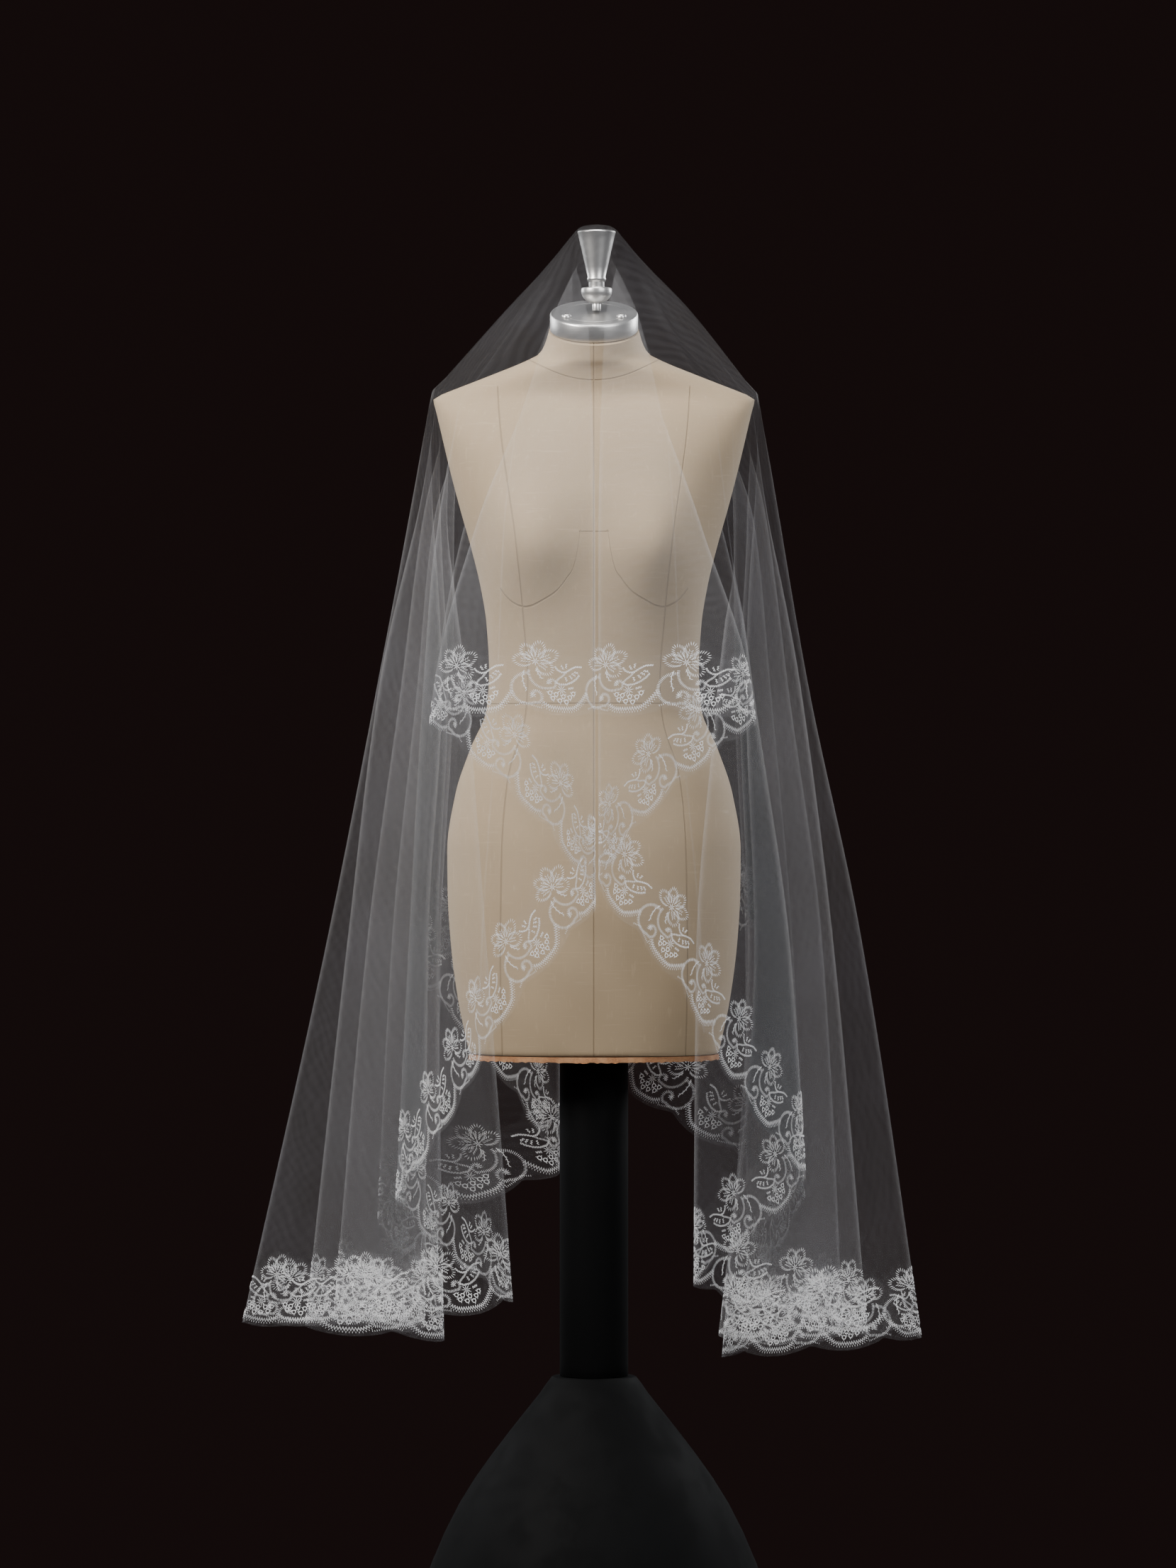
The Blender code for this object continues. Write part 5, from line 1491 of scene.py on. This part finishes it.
# The floor's disc, the surround's soft light, the camera's sensor in millimetres, and the soft lights.
FLOOR_RADIUS = 0.62
FLOOR_PLACE = (0.0, 0.0, -0.0005)
FLOOR_TONES = ((0.70, 0.69, 0.67, 1.0), (0.76, 0.75, 0.73, 1.0))
SOFT_SURROUND = (0.9, 0.92, 1.0, 1.0)
SOFT_STRENGTH = 0.12
SENSOR_WIDTH = 36.0
Light = namedtuple("Light", "name place target size watts colour")
LIGHTS = (
    Light("key_light", (-1.9, -1.5, 2.6), (0.0, 0.0, 1.25), 1.0, 92.0, (1.0, 0.975, 0.94)),
    Light("fill_light", (1.7, -2.3, 2.4), (0.0, 0.0, 1.25), 1.4, 40.0, (0.97, 0.985, 1.0)),
    Light("top_light", (0.0, -0.6, 3.2), (0.0, 0.0, 1.2), 1.2, 26.0, (1.0, 1.0, 1.0)),
    Light("rim_light_left", (-2.1, 1.6, 2.2), (0.0, 0.0, 1.1), 1.3, 26.0, (0.96, 0.98, 1.0)),
    Light("rim_light_right", (2.1, 1.6, 2.2), (0.0, 0.0, 1.1), 1.3, 38.0, (0.96, 0.98, 1.0)),
)


def soft_light(row, strength):
    """A square soft light that looks at a point."""
    data = bpy.data.lights.new(row.name, "AREA")
    data.shape = "SQUARE"
    data.size = row.size
    data.energy = row.watts * strength
    data.color = row.colour
    lamp = bpy.data.objects.new(row.name, data)
    lamp.location = row.place
    aim = Vector(row.target) - Vector(row.place)
    lamp.rotation_euler = aim.to_track_quat("-Z", "Y").to_euler()
    bpy.context.scene.collection.objects.link(lamp)


class VeilClothSettings(bpy.types.PropertyGroup):
    """The veil's cloth."""

    tulle_colour: bpy.props.FloatVectorProperty(
        name="Tulle colour", description="Colour of the tulle's thread", subtype="COLOR",
        default=(0.88, 0.88, 0.90), min=0.0, max=1.0,
    )
    thread_colour: bpy.props.FloatVectorProperty(
        name="Embroidery colour", description="Colour of the embroidery thread", subtype="COLOR",
        default=(0.95, 0.95, 0.97), min=0.0, max=1.0,
    )
    net_pitch: bpy.props.FloatProperty(
        name="Net pitch", description="Distance between the net's threads", default=0.0013, unit="LENGTH",
        precision=5,
    )
    tulle_density: bpy.props.FloatProperty(
        name="Tulle density", description="How much of the light the open net stops", default=0.0108,
        min=0.0, max=1.0, subtype="FACTOR",
    )
    edging_density: bpy.props.FloatProperty(
        name="Edging density", description="How much of the light the edging's net stops", default=0.017,
        min=0.0, max=1.0, subtype="FACTOR",
    )
    fold_density: bpy.props.FloatProperty(
        name="Fold density", description="How much denser the cloth looks on a fold", default=0.055,
        min=0.0, max=1.0, subtype="FACTOR",
    )


class DressFormSettings(bpy.types.PropertyGroup):
    """The dress form."""

    canvas_colour: bpy.props.FloatVectorProperty(
        name="Canvas colour", description="Colour of the linen canvas", subtype="COLOR",
        default=(0.315, 0.232, 0.142), min=0.0, max=1.0,
    )
    metal_colour: bpy.props.FloatVectorProperty(
        name="Metal colour", description="Colour of the neck's metal pieces", subtype="COLOR",
        default=(0.56, 0.55, 0.535), min=0.0, max=1.0,
    )
    stand_colour: bpy.props.FloatVectorProperty(
        name="Stand colour", description="Colour of the column and the base", subtype="COLOR",
        default=(0.0011, 0.0011, 0.0012), min=0.0, max=1.0,
    )
    board_colour: bpy.props.FloatVectorProperty(
        name="Board colour", description="Colour of the bottom board and the lining", subtype="COLOR",
        default=(0.36, 0.17, 0.07), min=0.0, max=1.0,
    )


class StudioSettings(bpy.types.PropertyGroup):
    """The studio round the form."""

    camera_distance: bpy.props.FloatProperty(
        name="Camera distance", description="From the middle of the form", default=8.0, unit="LENGTH",
    )
    view_height: bpy.props.FloatProperty(
        name="View height", description="Height of the view at the form", default=1.836, unit="LENGTH",
    )
    camera_place: bpy.props.FloatVectorProperty(
        name="Camera centre", description="Where the middle of the view is, across and up", size=2,
        default=(-0.007, 1.053), unit="LENGTH",
    )
    light_strength: bpy.props.FloatProperty(
        name="Light strength", description="Multiplies every soft light", default=1.4, min=0.0,
    )
    surround_colour: bpy.props.FloatVectorProperty(
        name="Surround colour", description="Colour behind the form", subtype="COLOR",
        default=(0.0098, 0.0056, 0.0055), min=0.0, max=1.0,
    )


def settle(piece, slot, *nodes):
    """Fix a piece to the body and hide the solids that it stands for. The slot is not used."""
    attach(piece, "root")
    if nodes:
        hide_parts(*nodes)


class VEIL_OT_tulle(bpy.types.Operator):
    """Hang the sheet of tulle over the form"""

    bl_idname = "veil.tulle"
    bl_label = "Tulle sheet"

    def execute(self, context):
        cloth = context.scene.veil_cloth
        finish = tulle_finish(
            "tulle", shared_groups(), cloth.tulle_colour, cloth.net_pitch, 0.24,
            cloth.tulle_density * 0.45, cloth.tulle_density * 2.4, cloth.fold_density,
        )
        piece = tulle_sheet(finish)
        area, size = cut_area(piece, "flat_cut")
        settle(piece, "tulle", "tulle_crown", "tulle_front", "tulle_left", "tulle_right", "tulle_back")
        return {"FINISHED"}


class VEIL_OT_edging(bpy.types.Operator):
    """Sew the edging's net and its embroidery round the tulle"""

    bl_idname = "veil.edging"
    bl_label = "Embroidered edging"

    def execute(self, context):
        cloth = context.scene.veil_cloth
        finish = tulle_finish(
            "edging_net", shared_groups(), cloth.tulle_colour, cloth.net_pitch * 0.75, 0.3,
            cloth.edging_density * 0.5, cloth.edging_density * 2.2, cloth.fold_density,
        )
        net = edging_net(finish)
        settle(net, "lace", "edging_front", "edging_left", "edging_right", "edging_back")
        thread = thread_finish("embroidery_thread", cloth.thread_colour)
        for name, first, last in STRETCHES:
            piece = embroidery(f"embroidery_{name}", first, last, thread)
            settle(piece, "lace")
        area, _ = cut_area(net, "flat_cut")
        return {"FINISHED"}


class VEIL_OT_form(bpy.types.Operator):
    """Cover the torso with canvas"""

    bl_idname = "veil.form"
    bl_label = "Torso"

    def execute(self, context):
        colours = context.scene.dress_form
        piece = torso_cover(canvas_finish(shared_groups(), colours.canvas_colour))
        settle(piece, "canvas", "torso")
        board = board_finish(shared_groups(), colours.board_colour)
        settle(lining_edge(board), "board")
        settle(bottom_board(board), "board", "bottom_board")
        return {"FINISHED"}


class VEIL_OT_neck(bpy.types.Operator):
    """Make the metal pieces on the neck"""

    bl_idname = "veil.neck"
    bl_label = "Neck pieces"

    def execute(self, context):
        finish = brushed_finish(shared_groups(), context.scene.dress_form.metal_colour)
        half = PLATE_BAND / 2
        plate = turned_up("round_plate", PLATE_PROFILE, finish, (0.0, PLATE_Y, PLATE_Z), PLATE_TILT, 0.0007)
        made = [(plate, "neck_plate")]
        for side, x in (("left", -SCREW_SPACING), ("right", SCREW_SPACING)):
            place = (
                x,
                PLATE_Y - SCREW_FORWARD * math.cos(PLATE_TILT) - half * math.sin(PLATE_TILT),
                PLATE_Z - SCREW_FORWARD * math.sin(PLATE_TILT) + half * math.cos(PLATE_TILT),
            )
            made.append((screw_head(f"screw_head_{side}", finish, place), f"plate_screw_{side}"))
        above = (FINIAL_X, FINIAL_Y, 0.0)
        made.append((turned_up("round_stud", STUD_PROFILE, finish, above, bevel=0.0002, sides=48), "stud"))
        made.append((turned_up("round_knob", KNOB_PROFILE, finish, above, bevel=0.0004), "ball_knob"))
        made.append((turned_up("flared_finial", FINIAL_PROFILE, finish, above, bevel=0.0003), "finial"))
        for piece, node in made:
            settle(piece, "steel", node)
        return {"FINISHED"}


class VEIL_OT_stand(bpy.types.Operator):
    """Make the column and the base"""

    bl_idname = "veil.stand"
    bl_label = "Stand"

    def execute(self, context):
        finish = black_finish(shared_groups(), context.scene.dress_form.stand_colour)
        settle(turned_up("round_column", COLUMN_PROFILE, finish, bevel=0.0008), "black", "column")
        settle(turned_up("bell_base", BASE_PROFILE, finish, bevel=0.0008, sides=128), "black", "base")
        return {"FINISHED"}


class VEIL_OT_studio(bpy.types.Operator):
    """Set up the floor, the soft lights and the camera"""

    bl_idname = "veil.studio"
    bl_label = "Studio"

    def execute(self, context):
        scene = context.scene
        studio = scene.veil_studio
        bpy.ops.object.select_all(action="DESELECT")
        bpy.ops.mesh.primitive_circle_add(
            vertices=96, radius=FLOOR_RADIUS, fill_type="NGON", location=FLOOR_PLACE
        )
        floor = context.object
        floor.name = "floor"
        bpy.ops.object.transform_apply(location=True)
        finish, n, shader = plain_finish("pale_floor", (0.72, 0.71, 0.69), 0.7)
        patches = n.noise(n.object_place(), 6.0, 4.0)
        n.join(n.mixed(patches, *FLOOR_TONES), shader.inputs["Base Color"])
        floor.data.materials.append(finish)
        world = bpy.data.worlds.new("plain_surround")
        world.use_nodes = True
        n = Nodes(world.node_tree)
        seen = world.node_tree.nodes["Background"]
        seen.inputs["Color"].default_value = (*studio.surround_colour, 1.0)
        soft = world.node_tree.nodes.new("ShaderNodeBackground")
        soft.inputs["Color"].default_value = SOFT_SURROUND
        soft.inputs["Strength"].default_value = SOFT_STRENGTH
        path = world.node_tree.nodes.new("ShaderNodeLightPath")
        blend = world.node_tree.nodes.new("ShaderNodeMixShader")
        n.join(path.outputs["Is Camera Ray"], blend.inputs[0])
        n.join(soft.outputs[0], blend.inputs[1])
        n.join(seen.outputs[0], blend.inputs[2])
        n.join(blend.outputs[0], world.node_tree.nodes["World Output"].inputs["Surface"])
        scene.world = world
        for row in LIGHTS:
            soft_light(row, studio.light_strength)
        lens = bpy.data.cameras.new("camera")
        lens.sensor_width = SENSOR_WIDTH
        lens.lens = SENSOR_WIDTH * studio.camera_distance / studio.view_height
        lens.clip_start, lens.clip_end = 0.05, 60.0
        camera = bpy.data.objects.new("camera", lens)
        across, up = studio.camera_place
        camera.location = (across, -studio.camera_distance, up)
        camera.rotation_euler = (math.radians(90.0), 0.0, 0.0)
        scene.collection.objects.link(camera)
        scene.camera = camera
        return {"FINISHED"}


class VEIL_PT_pieces(bpy.types.Panel):
    """The veil's pieces and their settings"""

    bl_idname = "VEIL_PT_pieces"
    bl_label = "Bridal veil"
    bl_space_type = "VIEW_3D"
    bl_region_type = "UI"
    bl_category = "Veil"

    def draw(self, context):
        for settings, steps in (
            (context.scene.veil_cloth, (VEIL_OT_tulle, VEIL_OT_edging)),
            (context.scene.dress_form, (VEIL_OT_form, VEIL_OT_neck, VEIL_OT_stand)),
            (context.scene.veil_studio, (VEIL_OT_studio,)),
        ):
            box = self.layout.box()
            for step in steps:
                box.operator(step.bl_idname)
            for name in settings.__annotations__:
                box.prop(settings, name)


CLASSES = (
    VeilClothSettings, DressFormSettings, StudioSettings, VEIL_OT_tulle, VEIL_OT_edging, VEIL_OT_form,
    VEIL_OT_neck, VEIL_OT_stand, VEIL_OT_studio, VEIL_PT_pieces,
)


def register():
    for item in CLASSES:
        bpy.utils.register_class(item)
    bpy.types.Scene.veil_cloth = bpy.props.PointerProperty(type=VeilClothSettings)
    bpy.types.Scene.dress_form = bpy.props.PointerProperty(type=DressFormSettings)
    bpy.types.Scene.veil_studio = bpy.props.PointerProperty(type=StudioSettings)


def unregister():
    del bpy.types.Scene.veil_studio
    del bpy.types.Scene.dress_form
    del bpy.types.Scene.veil_cloth
    for item in reversed(CLASSES):
        bpy.utils.unregister_class(item)


def main():
    register()
    bpy.ops.veil.form()
    bpy.ops.veil.neck()
    bpy.ops.veil.stand()
    bpy.ops.veil.tulle()
    bpy.ops.veil.edging()
    bpy.ops.veil.studio()


if __name__ == "__main__":
    main()
